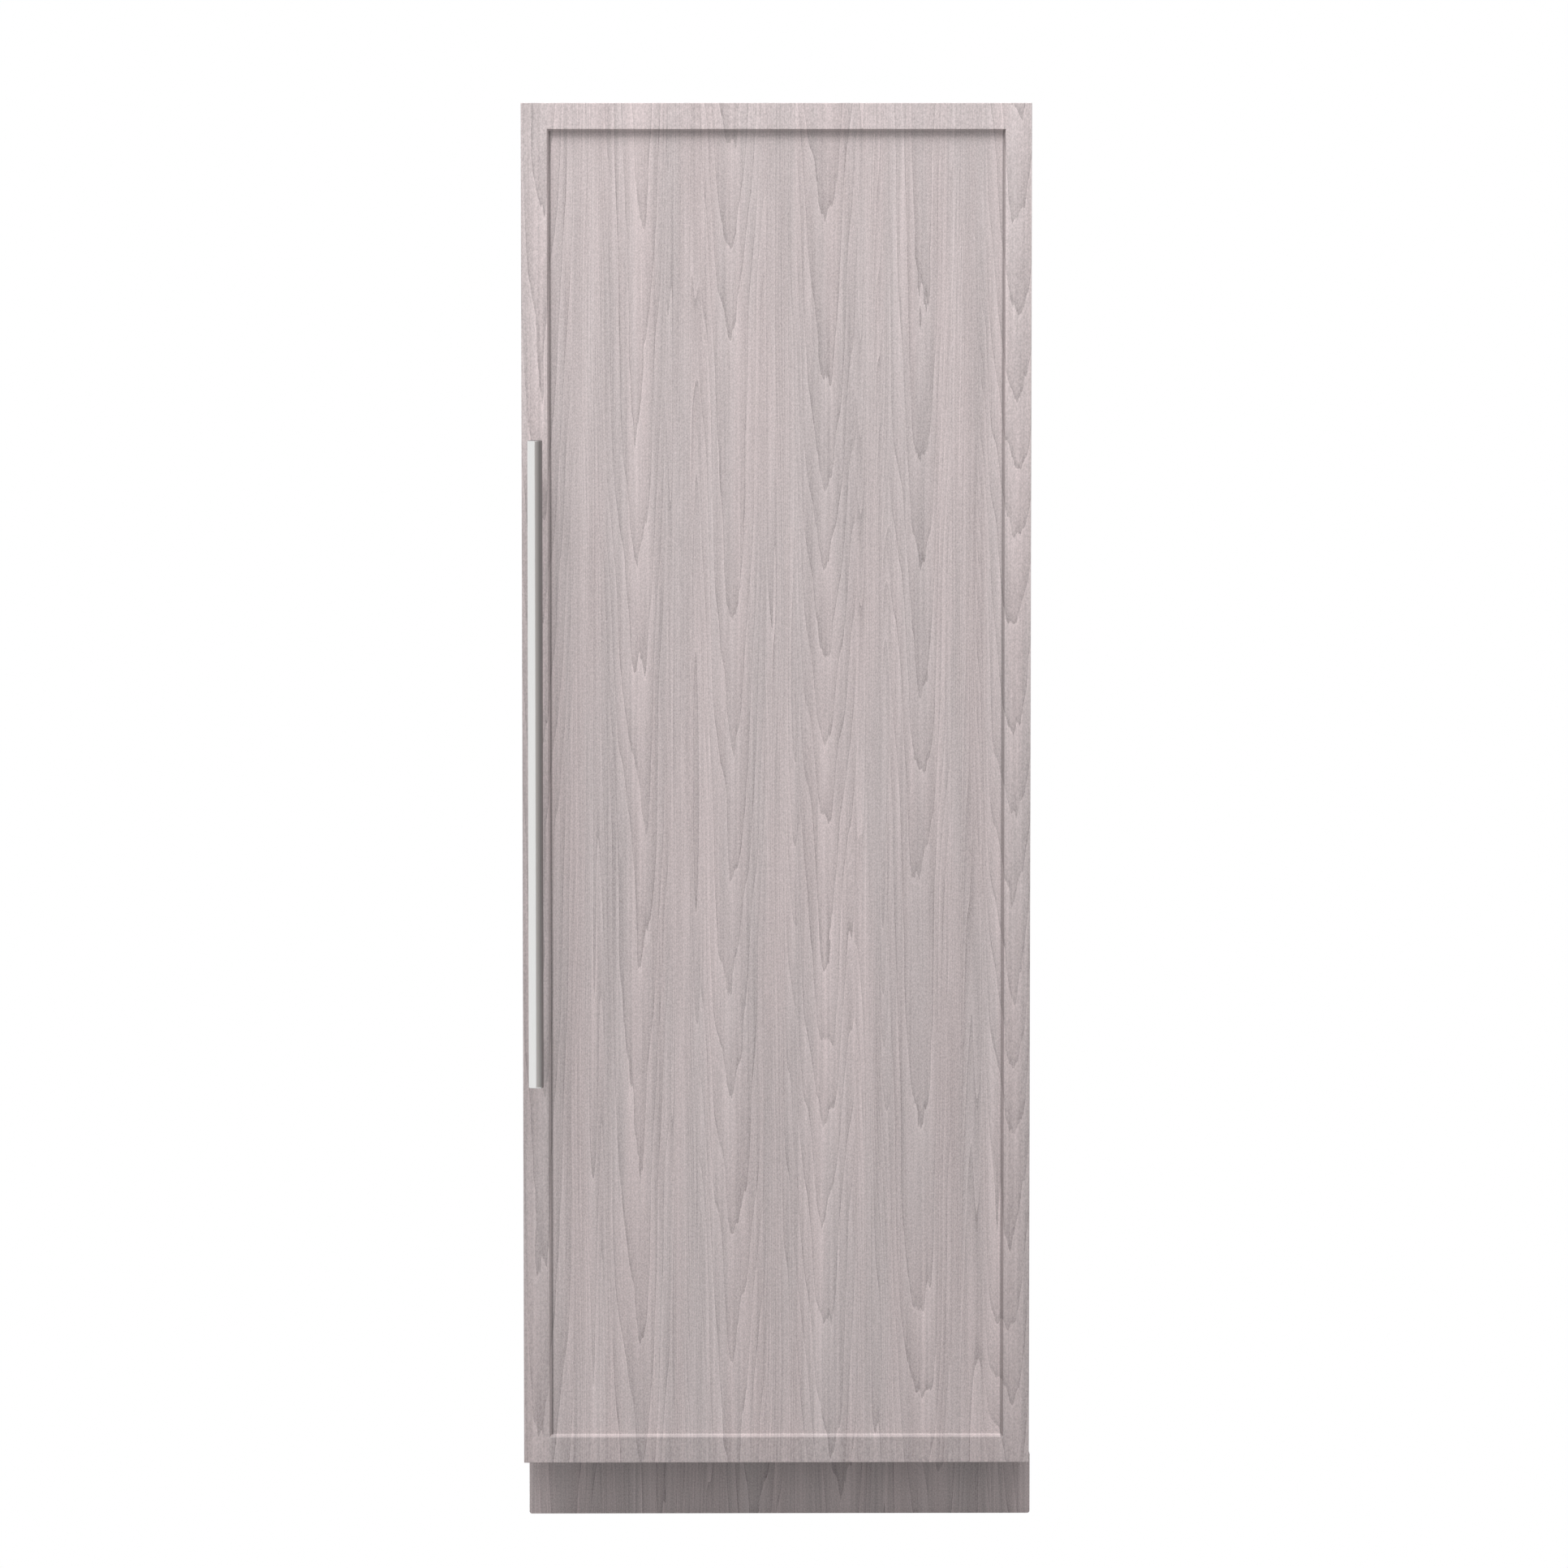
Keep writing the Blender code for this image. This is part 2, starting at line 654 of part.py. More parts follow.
def make_feet_and_rollers():
    for side, sign in SIDES:
        x = sign * BASE_SUPPORT_X
        carrier = empty("front_foot_" + side + "_axis", (x, foot_y, 0), refrigerator)
        profile = (
            (0, 0),
            (FOOT_RADIUS - FOOT_EDGE, 0),
            (FOOT_RADIUS, FOOT_EDGE),
            (FOOT_RADIUS, FOOT_HEIGHT),
            (FOOT_STEM + FOOT_CONE, FOOT_HEIGHT + FOOT_CONE),
            (FOOT_STEM, FOOT_HEIGHT + FOOT_CONE),
            (FOOT_STEM, case_bottom + FOOT_STEM_ABOVE),
            (0, case_bottom + FOOT_STEM_ABOVE),
        )
        shape = add_turned(bmesh.new(), profile, Matrix.Translation((x, foot_y, 0)))
        foot = piece_from("front_foot_" + side, shape, carrier, (x, foot_y, 0))
        shade_round(foot)
        paint(foot, ZINC, 0.4, 0.9)

        y = CASE_DEPTH - ROLLER_FROM_BACK
        plate_top = case_bottom - SEAT
        cheek_inner = ROLLER_WIDTH / 2 + CHEEK_GAP
        cheek_outer = cheek_inner + CHEEK
        bracket = block(
            "roller_bracket_" + side,
            (x - cheek_outer, y - ROLLER_PLATE_LENGTH / 2, plate_top - CHEEK),
            (x + cheek_outer, y + ROLLER_PLATE_LENGTH / 2, plate_top),
        )
        cheeks = []
        for way in (-1, 1):
            near = x + way * cheek_inner
            far = x + way * cheek_outer
            cheeks.append((
                (min(near, far), y - CHEEK_LENGTH / 2, ROLLER_RADIUS - CHEEK_BELOW_AXLE),
                (max(near, far), y + CHEEK_LENGTH / 2, plate_top - CHEEK + SINK),
            ))
        join(bracket, boxes(cheeks), "cheeks")
        bore_end = cheek_outer + OVERRUN
        cut(
            bracket,
            rods([((x - bore_end, y, ROLLER_RADIUS), (x + bore_end, y, ROLLER_RADIUS), AXLE_RADIUS + RUN)]),
            "axle_bore",
        )
        paint(bracket, ZINC, 0.45, 0.9)

        carrier = empty("rear_roller_" + side + "_axis", (x, y, ROLLER_RADIUS), refrigerator)
        axle_end = cheek_outer + AXLE_PAST_CHEEK
        rim = ROLLER_RADIUS - ROLLER_EDGE
        shoulder = ROLLER_WIDTH / 2 - ROLLER_EDGE
        profile = (
            (0, -axle_end), (AXLE_RADIUS, -axle_end),
            (AXLE_RADIUS, -ROLLER_WIDTH / 2), (rim, -ROLLER_WIDTH / 2),
            (ROLLER_RADIUS, -shoulder), (ROLLER_RADIUS, shoulder), (rim, ROLLER_WIDTH / 2),
            (AXLE_RADIUS, ROLLER_WIDTH / 2), (AXLE_RADIUS, axle_end), (0, axle_end),
        )
        aim = Matrix.Translation((x, y, ROLLER_RADIUS)) @ Matrix.Rotation(math.radians(90), 4, "Y")
        roller = piece_from(
            "rear_roller_" + side, add_turned(bmesh.new(), profile, aim), carrier, (x, y, ROLLER_RADIUS)
        )
        shade_round(roller)
        paint(roller, DARK_PLASTIC, 0.5)


def make_fan(label, middle, flow, radius, colour):
    # A square frame with a motor on struts behind, and a fan on its shaft. Flow is the blown direction.
    flow = Vector(flow)
    up = Vector((0, 0, 1))
    across = up.cross(flow)
    place = Matrix((
        (across.x, up.x, flow.x, middle[0]),
        (across.y, up.y, flow.y, middle[1]),
        (across.z, up.z, flow.z, middle[2]),
        (0, 0, 0, 1),
    ))
    reach = radius + FAN_FRAME_BORDER
    deep = FAN_FRAME_DEPTH / 2

    def laid(shape):
        bmesh.ops.transform(shape, verts=shape.verts, matrix=place)
        return shape

    square = boxes([((-reach, -reach, -deep), (reach, reach, deep))])
    frame = piece_from(label + "_fan_frame", laid(square), refrigerator, middle)
    cut(frame, laid(rods([((0, 0, -deep - OVERRUN), (0, 0, deep + OVERRUN), radius)])), "bore")
    struts = boxes([
        ((-radius - SINK, -FAN_STRUT / 2, -deep), (radius + SINK, FAN_STRUT / 2, FAN_STRUT / 2 - deep)),
    ])
    join(frame, laid(struts), "strut")
    motor_top = deep - FAN_HUB_DEPTH - SEAT
    join(frame, laid(rods([((0, 0, SINK / 2 - deep), (0, 0, motor_top), FAN_MOTOR_RADIUS)])), "motor")
    shaft_end = motor_top + FAN_SHAFT_LENGTH
    shaft = rods([((0, 0, motor_top - SINK), (0, 0, shaft_end), FAN_SHAFT_RADIUS, SMALL_SIDES)])
    join(frame, laid(shaft), "shaft")
    paint(frame, DARK_PLASTIC, 0.55)

    carrier = empty(label + "_fan_axis", middle, refrigerator)
    hub = rods([((0, 0, deep - FAN_HUB_DEPTH), (0, 0, deep), FAN_HUB_RADIUS)])
    fan = piece_from(label + "_fan", laid(hub), carrier, middle)
    blades = bmesh.new()
    blade_middle = deep - FAN_HUB_DEPTH / 2
    tip = radius - FAN_TIP_GAP
    pitch = Matrix.Rotation(math.radians(FAN_PITCH_DEG), 4, "X")
    for i in range(FAN_BLADES):
        blade = bmesh.new()
        add_box(
            blade,
            (FAN_HUB_RADIUS - FAN_SHAFT_RADIUS, -FAN_BLADE_CHORD / 2, -FAN_BLADE_THICKNESS / 2),
            (tip, FAN_BLADE_CHORD / 2, FAN_BLADE_THICKNESS / 2),
            pitch,
        )
        spin = Matrix.Translation((0, 0, blade_middle)) @ Matrix.Rotation(math.tau * i / FAN_BLADES, 4, "Z")
        bmesh.ops.transform(blade, verts=blade.verts, matrix=spin)
        spare = bpy.data.meshes.new("blade")
        blade.to_mesh(spare)
        blade.free()
        blades.from_mesh(spare)
        bpy.data.meshes.remove(spare)
    join(fan, laid(blades), "blades")
    bore = rods([((0, 0, motor_top - OVERRUN), (0, 0, shaft_end + RUN), FAN_SHAFT_RADIUS + 2 * RUN)])
    cut(fan, laid(bore), "shaft_bore")
    paint(fan, colour, 0.5)


def make_machine():
    plate_low = machine_floor + SEAT + COMPRESSOR_FOOT_HEIGHT
    plate_x, plate_y, plate_z = COMPRESSOR_PLATE
    shell_low = plate_low + plate_z - SINK
    dome = COMPRESSOR_RADIUS * COMPRESSOR_DOME_SHARE
    profile = [(0, 0)]
    steps = 4
    for i in range(steps + 1):
        angle = math.radians(-90 + 90 * i / steps)
        if i:
            profile.append((COMPRESSOR_RADIUS * math.cos(angle), dome * (1 + math.sin(angle))))
    for i in range(steps):
        angle = math.radians(90 * i / steps)
        height = COMPRESSOR_HEIGHT - dome * (1 - math.sin(angle))
        profile.append((COMPRESSOR_RADIUS * math.cos(angle), height))
    profile.append((0, COMPRESSOR_HEIGHT))
    shell = add_turned(bmesh.new(), profile, Matrix.Translation((COMPRESSOR_X, COMPRESSOR_Y, shell_low)))
    compressor = piece_from("compressor", shell, refrigerator, (COMPRESSOR_X, COMPRESSOR_Y, plate_low))
    join(
        compressor,
        boxes([(
            (COMPRESSOR_X - plate_x / 2, COMPRESSOR_Y - plate_y / 2, plate_low),
            (COMPRESSOR_X + plate_x / 2, COMPRESSOR_Y + plate_y / 2, plate_low + plate_z),
        )]),
        "plate",
    )
    grommets = []
    for way_x in (-1, 1):
        for way_y in (-1, 1):
            x = COMPRESSOR_X + way_x * (plate_x / 2 - COMPRESSOR_FOOT_IN)
            y = COMPRESSOR_Y + way_y * (plate_y / 2 - COMPRESSOR_FOOT_IN)
            grommets.append(
                ((x, y, machine_floor + SEAT), (x, y, plate_low + SINK), COMPRESSOR_FOOT_RADIUS, SMALL_SIDES)
            )
    join(compressor, rods(grommets), "grommets")
    shade_round(compressor)
    paint(compressor, BLACK_PAINT, 0.35, 0.2)

    tray_x, tray_y = TRAY_LOW
    size_x, size_y, size_z = TRAY_SIZE
    low_z = machine_floor + SEAT
    tray_back = tray_y + size_y
    tray = block(
        "evaporation_tray", (tray_x, tray_y, low_z), (tray_x + size_x, tray_back, low_z + size_z)
    )
    cut(
        tray,
        boxes([(
            (tray_x + TRAY_WALL, tray_y + TRAY_WALL, low_z + TRAY_WALL),
            (tray_x + size_x - TRAY_WALL, tray_back - TRAY_WALL, low_z + size_z + OVERRUN),
        )]),
        "hollow",
    )
    paint(tray, DARK_PLASTIC, 0.5)

    front = tray_back + CONDENSER_FRONT_GAP
    back = CASE_DEPTH - CONDENSER_BACK_GAP
    middle_of_depth = (front + back) / 2
    top_z = machine_top - CONDENSER_TOP_GAP
    reach_x = CONDENSER_WIDTH / 2
    condenser = block(
        "condenser",
        (CONDENSER_X - reach_x, front, low_z),
        (CONDENSER_X + reach_x, back, top_z),
    )
    gaps = int((back - front - 2 * CONDENSER_HEADER) / CONDENSER_FIN_PITCH)
    reach_y = (CONDENSER_FIN_PITCH - CONDENSER_FIN) / 2
    slots = []
    for i in range(gaps):
        y = middle_of_depth + (i + 0.5 - gaps / 2) * CONDENSER_FIN_PITCH
        slots.append((
            (CONDENSER_X - reach_x - OVERRUN, y - reach_y, low_z + CONDENSER_HEADER),
            (CONDENSER_X + reach_x + OVERRUN, y + reach_y, top_z - CONDENSER_HEADER),
        ))
    cut(condenser, boxes(slots), "fin_gaps")
    paint(condenser, BLACK_PAINT, 0.5, 0.4)

    fan_z = low_z + CONDENSER_FAN_RADIUS + FAN_FRAME_BORDER
    fan_x = CONDENSER_X - reach_x - SEAT - FAN_FRAME_DEPTH / 2
    make_fan(
        "condenser", (fan_x, middle_of_depth, fan_z), (-1, 0, 0), CONDENSER_FAN_RADIUS, DARK_PLASTIC
    )

    inlet_z = machine_floor + INLET_RISE
    size_x, size_y, size_z = INLET_SIZE
    inlet = block(
        "power_inlet",
        (INLET_X - size_x / 2, CASE_DEPTH - SHEET - size_y, inlet_z - size_z / 2),
        (INLET_X + size_x / 2, CASE_DEPTH, inlet_z + size_z / 2),
    )
    flange_back = CASE_DEPTH - SHEET - SEAT
    join(
        inlet,
        boxes([(
            (INLET_X - size_x / 2 - INLET_FLANGE, flange_back - INLET_FLANGE_THICKNESS,
             inlet_z - size_z / 2 - INLET_FLANGE),
            (INLET_X + size_x / 2 + INLET_FLANGE, flange_back, inlet_z + size_z / 2 + INLET_FLANGE),
        )]),
        "flange",
    )
    reach_x = size_x / 2 - INLET_WALL
    reach_z = size_z / 2 - INLET_WALL
    cut(
        inlet,
        boxes([(
            (INLET_X - reach_x, CASE_DEPTH - INLET_RECESS_DEPTH, inlet_z - reach_z),
            (INLET_X + reach_x, CASE_DEPTH + OVERRUN, inlet_z + reach_z),
        )]),
        "recess",
    )
    paint(inlet, DARK_PLASTIC, 0.5)


def make_cold_side():
    duct_low = cover_top + DUCT_BOTTOM_RISE
    duct_high = room_top - DUCT_TOP_GAP
    cover = block(
        "rear_duct_cover",
        (-duct_half, duct_front, duct_low),
        (duct_half, room_back - SEAT, duct_high),
    )
    cut(
        cover,
        boxes([(
            (-duct_half + DUCT_WALL, duct_front + DUCT_WALL, duct_low + DUCT_WALL),
            (duct_half - DUCT_WALL, room_back + OVERRUN, duct_high - DUCT_WALL),
        )]),
        "duct",
    )
    fan_z = room_top - DUCT_FAN_DROP
    outlets = slot_grid(
        DUCT_SLOTS, 1, (0, fan_z), DUCT_SLOT, DUCT_SLOT_HEIGHT, (DUCT_SLOTS * DUCT_SLOT_PITCH, 0),
        duct_front - OVERRUN, duct_front + DUCT_WALL + OVERRUN,
    )
    return_z = duct_low + DUCT_RETURN_RISE + DUCT_RETURN_HEIGHT / 2
    returns = slot_grid(
        2 * DUCT_SLOTS, 1, (0, return_z), DUCT_SLOT, DUCT_RETURN_HEIGHT,
        (2 * DUCT_SLOTS * DUCT_SLOT_PITCH, 0), duct_front - OVERRUN, duct_front + DUCT_WALL + OVERRUN,
    )
    cut(cover, boxes(outlets + returns), "air_slots")
    paint(cover, WHITE_PLASTIC, 0.35)

    reach_x = duct_half - DUCT_WALL - EVAPORATOR_SIDE_GAP
    back = room_back - SEAT
    front = back - EVAPORATOR_DEPTH
    top = room_top - EVAPORATOR_DROP
    low = top - EVAPORATOR_HEIGHT
    evaporator = block("evaporator", (-reach_x, front, low), (reach_x, back, top))
    fins = int(2 * reach_x / EVAPORATOR_FIN_PITCH)
    slots = []
    for i in range(fins):
        x = (i + 0.5 - fins / 2) * EVAPORATOR_FIN_PITCH
        reach = (EVAPORATOR_FIN_PITCH - EVAPORATOR_FIN) / 2
        slots.append((
            (x - reach, front - OVERRUN, low - OVERRUN),
            (x + reach, back - EVAPORATOR_WEB, top + OVERRUN),
        ))
    cut(evaporator, boxes(slots), "fin_gaps")
    paint(evaporator, ALUMINIUM, 0.35, 0.9)

    fan_y = duct_front + DUCT_WALL + SEAT + FAN_FRAME_DEPTH / 2
    make_fan("evaporator", (0, fan_y, fan_z), (0, -1, 0), EVAPORATOR_FAN_RADIUS, WHITE_PLASTIC)


def ladder_slots():
    # Heights of the ladders' slots, from the lowest up.
    low = cover_top + LADDER_RISE
    high = room_top - LADDER_TOP_GAP
    count = int((high - low) / LADDER_SLOT_PITCH)
    first = (low + high - (count - 1) * LADDER_SLOT_PITCH) / 2
    return [first + i * LADDER_SLOT_PITCH for i in range(count)]


def make_shelves():
    slots = ladder_slots()
    for side, sign in SIDES:
        x = sign * LADDER_X
        ladder = block(
            "shelf_ladder_" + side,
            (x - LADDER_WIDTH / 2, ladder_front, cover_top + LADDER_RISE),
            (x + LADDER_WIDTH / 2, room_back - SEAT, room_top - LADDER_TOP_GAP),
        )
        cut(
            ladder,
            boxes([
                ((x - LADDER_SLOT_WIDTH / 2, ladder_front - OVERRUN, z - LADDER_SLOT / 2),
                 (x + LADDER_SLOT_WIDTH / 2, ladder_front + LADDER_SLOT_DEPTH, z + LADDER_SLOT / 2))
                for z in slots
            ]),
            "slots",
        )
        paint(ladder, STAINLESS, 0.35, 0.9)

    outer = room_half - SHELF_SIDE_GAP
    inner = outer - SHELF_BAR
    front = door_inner + SEAT + BIN_DEPTH + SHELF_BIN_GAP
    for name, share in zip(SHELF_NAMES, SHELF_SHARES):
        aim = cover_top + share * shelf_room
        slot = min(slots, key=lambda z: abs(z - aim))
        hook_low = slot - LADDER_SLOT / 2 + RUN
        hook_high = hook_low + SHELF_HOOK_HEIGHT
        top = hook_high + (SHELF_FRAME_HEIGHT - SHELF_HOOK_HEIGHT) / 2
        low = top - SHELF_FRAME_HEIGHT
        frame = block("shelf_frame_" + name, (-outer, front, low), (outer, shelf_back, top))
        glass_top = top - SHELF_GLASS_SINK
        glass_low = glass_top - GLASS
        pocket = SEAT
        cut(
            frame,
            boxes([(
                (-inner - pocket, front + SHELF_BAR - pocket, glass_low - SEAT),
                (inner + pocket, shelf_back - SHELF_BAR + pocket, top + OVERRUN),
            )]),
            "glass_seat",
        )
        cut(
            frame,
            boxes([(
                (-inner + SHELF_LEDGE, front + SHELF_BAR + SHELF_LEDGE, low - OVERRUN),
                (inner - SHELF_LEDGE, shelf_back - SHELF_BAR - SHELF_LEDGE, top),
            )]),
            "opening",
        )
        hooks = []
        for _, sign in SIDES:
            x = sign * LADDER_X
            hooks.append((
                (x - SHELF_HOOK_WIDTH / 2, shelf_back - SINK, hook_low),
                (x + SHELF_HOOK_WIDTH / 2, ladder_front + SHELF_HOOK_BITE, hook_high),
            ))
        join(frame, boxes(hooks), "hooks")
        paint(frame, STAINLESS, 0.35, 0.9)

        glass = block(
            "shelf_glass_" + name,
            (-inner, front + SHELF_BAR, glass_low),
            (inner, shelf_back - SHELF_BAR, glass_top),
        )
        paint(glass, PALE_GLASS, 0.05, alpha=0.4)


def make_drawers():
    bin_half = DRAWER_HALF_WIDTH
    front = DRAWER_SET_BACK
    housing_inner = bin_half + DRAWER_SIDE_GAP
    groove_outer = bin_half + RUNNER_WIDTH + RUN
    housing_front = front - HOUSING_LEAD
    housing_back = front + DRAWER_DEPTH + HOUSING_TAIL
    runner_lows = [low + DRAWER_HEIGHT - RUNNER_DROP for low in drawer_bottoms]
    for side, sign in SIDES:
        near = sign * housing_inner
        far = sign * (room_half - SEAT)
        housing = block(
            "drawer_housing_" + side,
            (min(near, far), housing_front, room_floor + SEAT),
            (max(near, far), housing_back, housing_top),
        )
        grooves = []
        for low in runner_lows:
            start = sign * (housing_inner - OVERRUN)
            end = sign * groove_outer
            grooves.append((
                (min(start, end), housing_front - OVERRUN, low - RUN),
                (max(start, end), housing_back + OVERRUN, low + RUNNER_HEIGHT + RUN),
            ))
        cut(housing, boxes(grooves), "grooves")
        paint(housing, WHITE_PLASTIC, 0.35)

    cover = block(
        "drawer_cover_glass",
        (-room_half + SEAT, housing_front, housing_top + SEAT),
        (room_half - SEAT, housing_back, cover_top),
    )
    paint(cover, PALE_GLASS, 0.05, alpha=0.4)

    for name, low, runner_low in zip(("lower", "upper"), drawer_bottoms, runner_lows):
        carrier = empty("drawer_" + name + "_slide", (0, front, low), refrigerator)
        plate = block(
            "drawer_front_" + name,
            (-bin_half, front, low),
            (bin_half, front + DRAWER_FRONT, low + DRAWER_HEIGHT + DRAWER_FRONT_LIP),
            carrier,
        )
        paint(plate, CLEAR_PLASTIC, 0.15, alpha=0.6)
        start = front + DRAWER_FRONT + SEAT
        end = front + DRAWER_DEPTH
        tub = block(
            "drawer_bin_" + name, (-bin_half, start, low), (bin_half, end, low + DRAWER_HEIGHT), carrier
        )
        runners = []
        for _, sign in SIDES:
            near = sign * (bin_half - SINK)
            far = sign * (bin_half + RUNNER_WIDTH)
            runners.append((
                (min(near, far), start + RUNNER_LEAD, runner_low),
                (max(near, far), end, runner_low + RUNNER_HEIGHT),
            ))
        join(tub, boxes(runners), "runners")
        cut(
            tub,
            boxes([(
                (-bin_half + DRAWER_WALL, start + DRAWER_WALL, low + DRAWER_WALL),
                (bin_half - DRAWER_WALL, end - DRAWER_WALL, low + DRAWER_HEIGHT + OVERRUN),
            )]),
            "hollow",
        )
        paint(tub, CLEAR_PLASTIC, 0.15, alpha=0.6)


def make_lights():
    for side, sign in SIDES:
        near = sign * (room_half - SEAT)
        far = sign * (room_half - LED_WIDTH)
        column = block(
            "led_column_" + side,
            (min(near, far), LED_SET_BACK, cover_top + LED_END_GAP),
            (max(near, far), LED_SET_BACK + LED_DEPTH, room_top - LED_END_GAP),
        )
        paint(column, LAMP, 0.3)

    control = block(
        "control_panel",
        (-CONTROL_WIDTH / 2, CONTROL_SET_BACK, room_top - CONTROL_HEIGHT),
        (CONTROL_WIDTH / 2, CONTROL_SET_BACK + CONTROL_DEPTH, room_top - SEAT),
    )
    soften(control, CONTROL_EDGE)
    paint(control, GREY_PLASTIC, 0.35)


def make_hinges():
    arms = empty("hinge_arm_axis", case_pivot, refrigerator)
    along = door_pivot - case_pivot
    heading = math.atan2(along.y, along.x)
    for level, face, up in (("lower", case_bottom, -1), ("upper", case_top, 1)):

        def at(height, face=face, up=up):
            # Height counted away from the case's end face.
            return face + up * height

        def slab(x_low, x_high, y_low, y_high, near, far, at=at):
            return ((x_low, y_low, min(at(near), at(far))), (x_high, y_high, max(at(near), at(far))))

        arm_near = ARM_GAP
        arm_far = ARM_GAP + ARM_THICKNESS
        outline = []
        steps = SMALL_SIDES
        for centre, start in ((case_pivot, 90), (door_pivot, -90)):
            for i in range(steps + 1):
                angle = heading + math.radians(start + 180 * i / steps)
                outline.append((
                    centre.x + ARM_HALF_WIDTH * math.cos(angle),
                    centre.y + ARM_HALF_WIDTH * math.sin(angle),
                    at(arm_near),
                ))
        arm = piece_from(
            "hinge_arm_" + level,
            add_prism(bmesh.new(), outline, (0, 0, up * ARM_THICKNESS)),
            arms,
            (case_pivot.x, case_pivot.y, at(arm_near)),
        )
        px, py, _ = door_pivot
        door_face = -DOOR_INSET
        join(
            arm,
            rods([((px, py, at(door_face + SEAT)), (px, py, at(arm_near + SINK)), DOOR_PIN_COLLAR)]),
            "collar",
        )
        pin_tip = at(door_face - DOOR_PIN_DEPTH)
        join(
            arm,
            rods([((px, py, pin_tip), (px, py, at(arm_near + SINK)), DOOR_PIN_RADIUS)]),
            "door_pin",
        )
        cx, cy, _ = case_pivot
        cut(
            arm,
            rods([((cx, cy, at(arm_near - OVERRUN)), (cx, cy, at(arm_far + OVERRUN)), PIVOT_RADIUS + RUN)]),
            "pivot_bore",
        )
        shade_round(arm)
        paint(arm, ZINC, 0.35, 0.95)

        tongue_near = arm_far + SEAT
        tongue_far = tongue_near + BRACKET_THICKNESS
        x_low = cx - BRACKET_HALF_WIDTH
        x_high = cx + BRACKET_HALF_WIDTH
        foot_start = cy + BRACKET_START
        foot = slab(x_low, x_high, foot_start, foot_start + BRACKET_LENGTH, SEAT, SEAT + BRACKET_THICKNESS)
        bracket = block("hinge_bracket_" + level, *foot)
        join(
            bracket,
            boxes([slab(x_low, x_high, foot_start, foot_start + BRACKET_RISER, SEAT, tongue_far)]),
            "riser",
        )
        riser_back = foot_start + BRACKET_RISER
        join(
            bracket,
            boxes([slab(x_low, x_high, cy - ARM_HALF_WIDTH, riser_back, tongue_near, tongue_far)]),
            "tongue",
        )
        join(
            bracket,
            rods([((cx, cy, at(PIVOT_TIP_GAP)), (cx, cy, at(tongue_near + SINK)), PIVOT_RADIUS)]),
            "pivot",
        )
        paint(bracket, ZINC, 0.35, 0.95)


def cut_pin_holes(piece, clearance):
    # The hinge arms' pins go into the door's two ends.
    px, py, _ = door_pivot
    radius = DOOR_PIN_RADIUS + clearance
    depth = DOOR_PIN_DEPTH + 2 * SEAT
    cut(
        piece,
        rods([
            ((px, py, door_bottom - OVERRUN), (px, py, door_bottom + depth), radius),
            ((px, py, door_top - depth), (px, py, door_top + OVERRUN), radius),
        ]),
        "pin_holes",
    )


def make_door():
    door = empty("door_hinge_axis", door_pivot, refrigerator)
    skin_back = door_inner - DOOR_LINER - SEAT
    skin = block("door_outer_skin", (-half, door_front, door_bottom), (half, skin_back, door_top), door)
    cut(
        skin,
        boxes([(
            (-half + SHEET, door_front + SHEET, door_bottom + SHEET),
            (half - SHEET, skin_back + OVERRUN, door_top - SHEET),
        )]),
        "inside",
    )
    cut_pin_holes(skin, RUN)
    paint(skin, GALVANISED, 0.45, 0.9)

    lap = SHEET + SEAT
    foam = block(
        "door_foam",
        (-half + lap, door_front + lap, door_bottom + lap),
        (half - lap, skin_back, door_top - lap),
        door,
    )
    cut_pin_holes(foam, RUN)
    paint(foam, FOAM, 0.9)

    liner = block(
        "door_liner", (-half, door_inner - DOOR_LINER, door_bottom), (half, door_inner, door_top), door
    )
    paint(liner, WHITE_PLASTIC, 0.3)

    outer = half - GASKET_INSET
    low = door_bottom + GASKET_INSET
    high = door_top - GASKET_INSET
    # The gasket's lower side meets the case's front above the machine compartment.
    low = max(low, machine_top + SEAT)
    gasket = block("door_gasket", (-outer, door_inner + SEAT, low), (outer, -SEAT, high), door)
    cut(
        gasket,
        boxes([(
            (-outer + GASKET_WIDTH, door_inner - OVERRUN, low + GASKET_WIDTH),
            (outer - GASKET_WIDTH, OVERRUN, high - GASKET_WIDTH),
        )]),
        "opening",
    )
    paint(gasket, RUBBER, 0.7)

    panel = block(
        "door_panel",
        (-panel_half, panel_face, panel_bottom),
        (panel_half, panel_back, panel_top),
        door,
    )
    recess = bmesh.new()
    rings = []
    for y, inset in (
        (panel_face - OVERRUN, BORDER - REVEAL * OVERRUN / RECESS_DEPTH),
        (panel_face + RECESS_DEPTH, BORDER + REVEAL),
    ):
        rings.append([
            recess.verts.new((x, y, z))
            for x, z in (
                (-panel_half + inset, panel_bottom + inset), (panel_half - inset, panel_bottom + inset),
                (panel_half - inset, panel_top - inset), (-panel_half + inset, panel_top - inset),
            )
        ])
    recess.faces.new(rings[0])
    recess.faces.new(reversed(rings[1]))
    for i in range(4):
        j = (i + 1) % 4
        recess.faces.new((rings[0][i], rings[1][i], rings[1][j], rings[0][j]))
    cut(panel, recess, "recess")
    soften(panel, PANEL_EDGE)
    paint(panel, WOOD, 0.55)
    return door


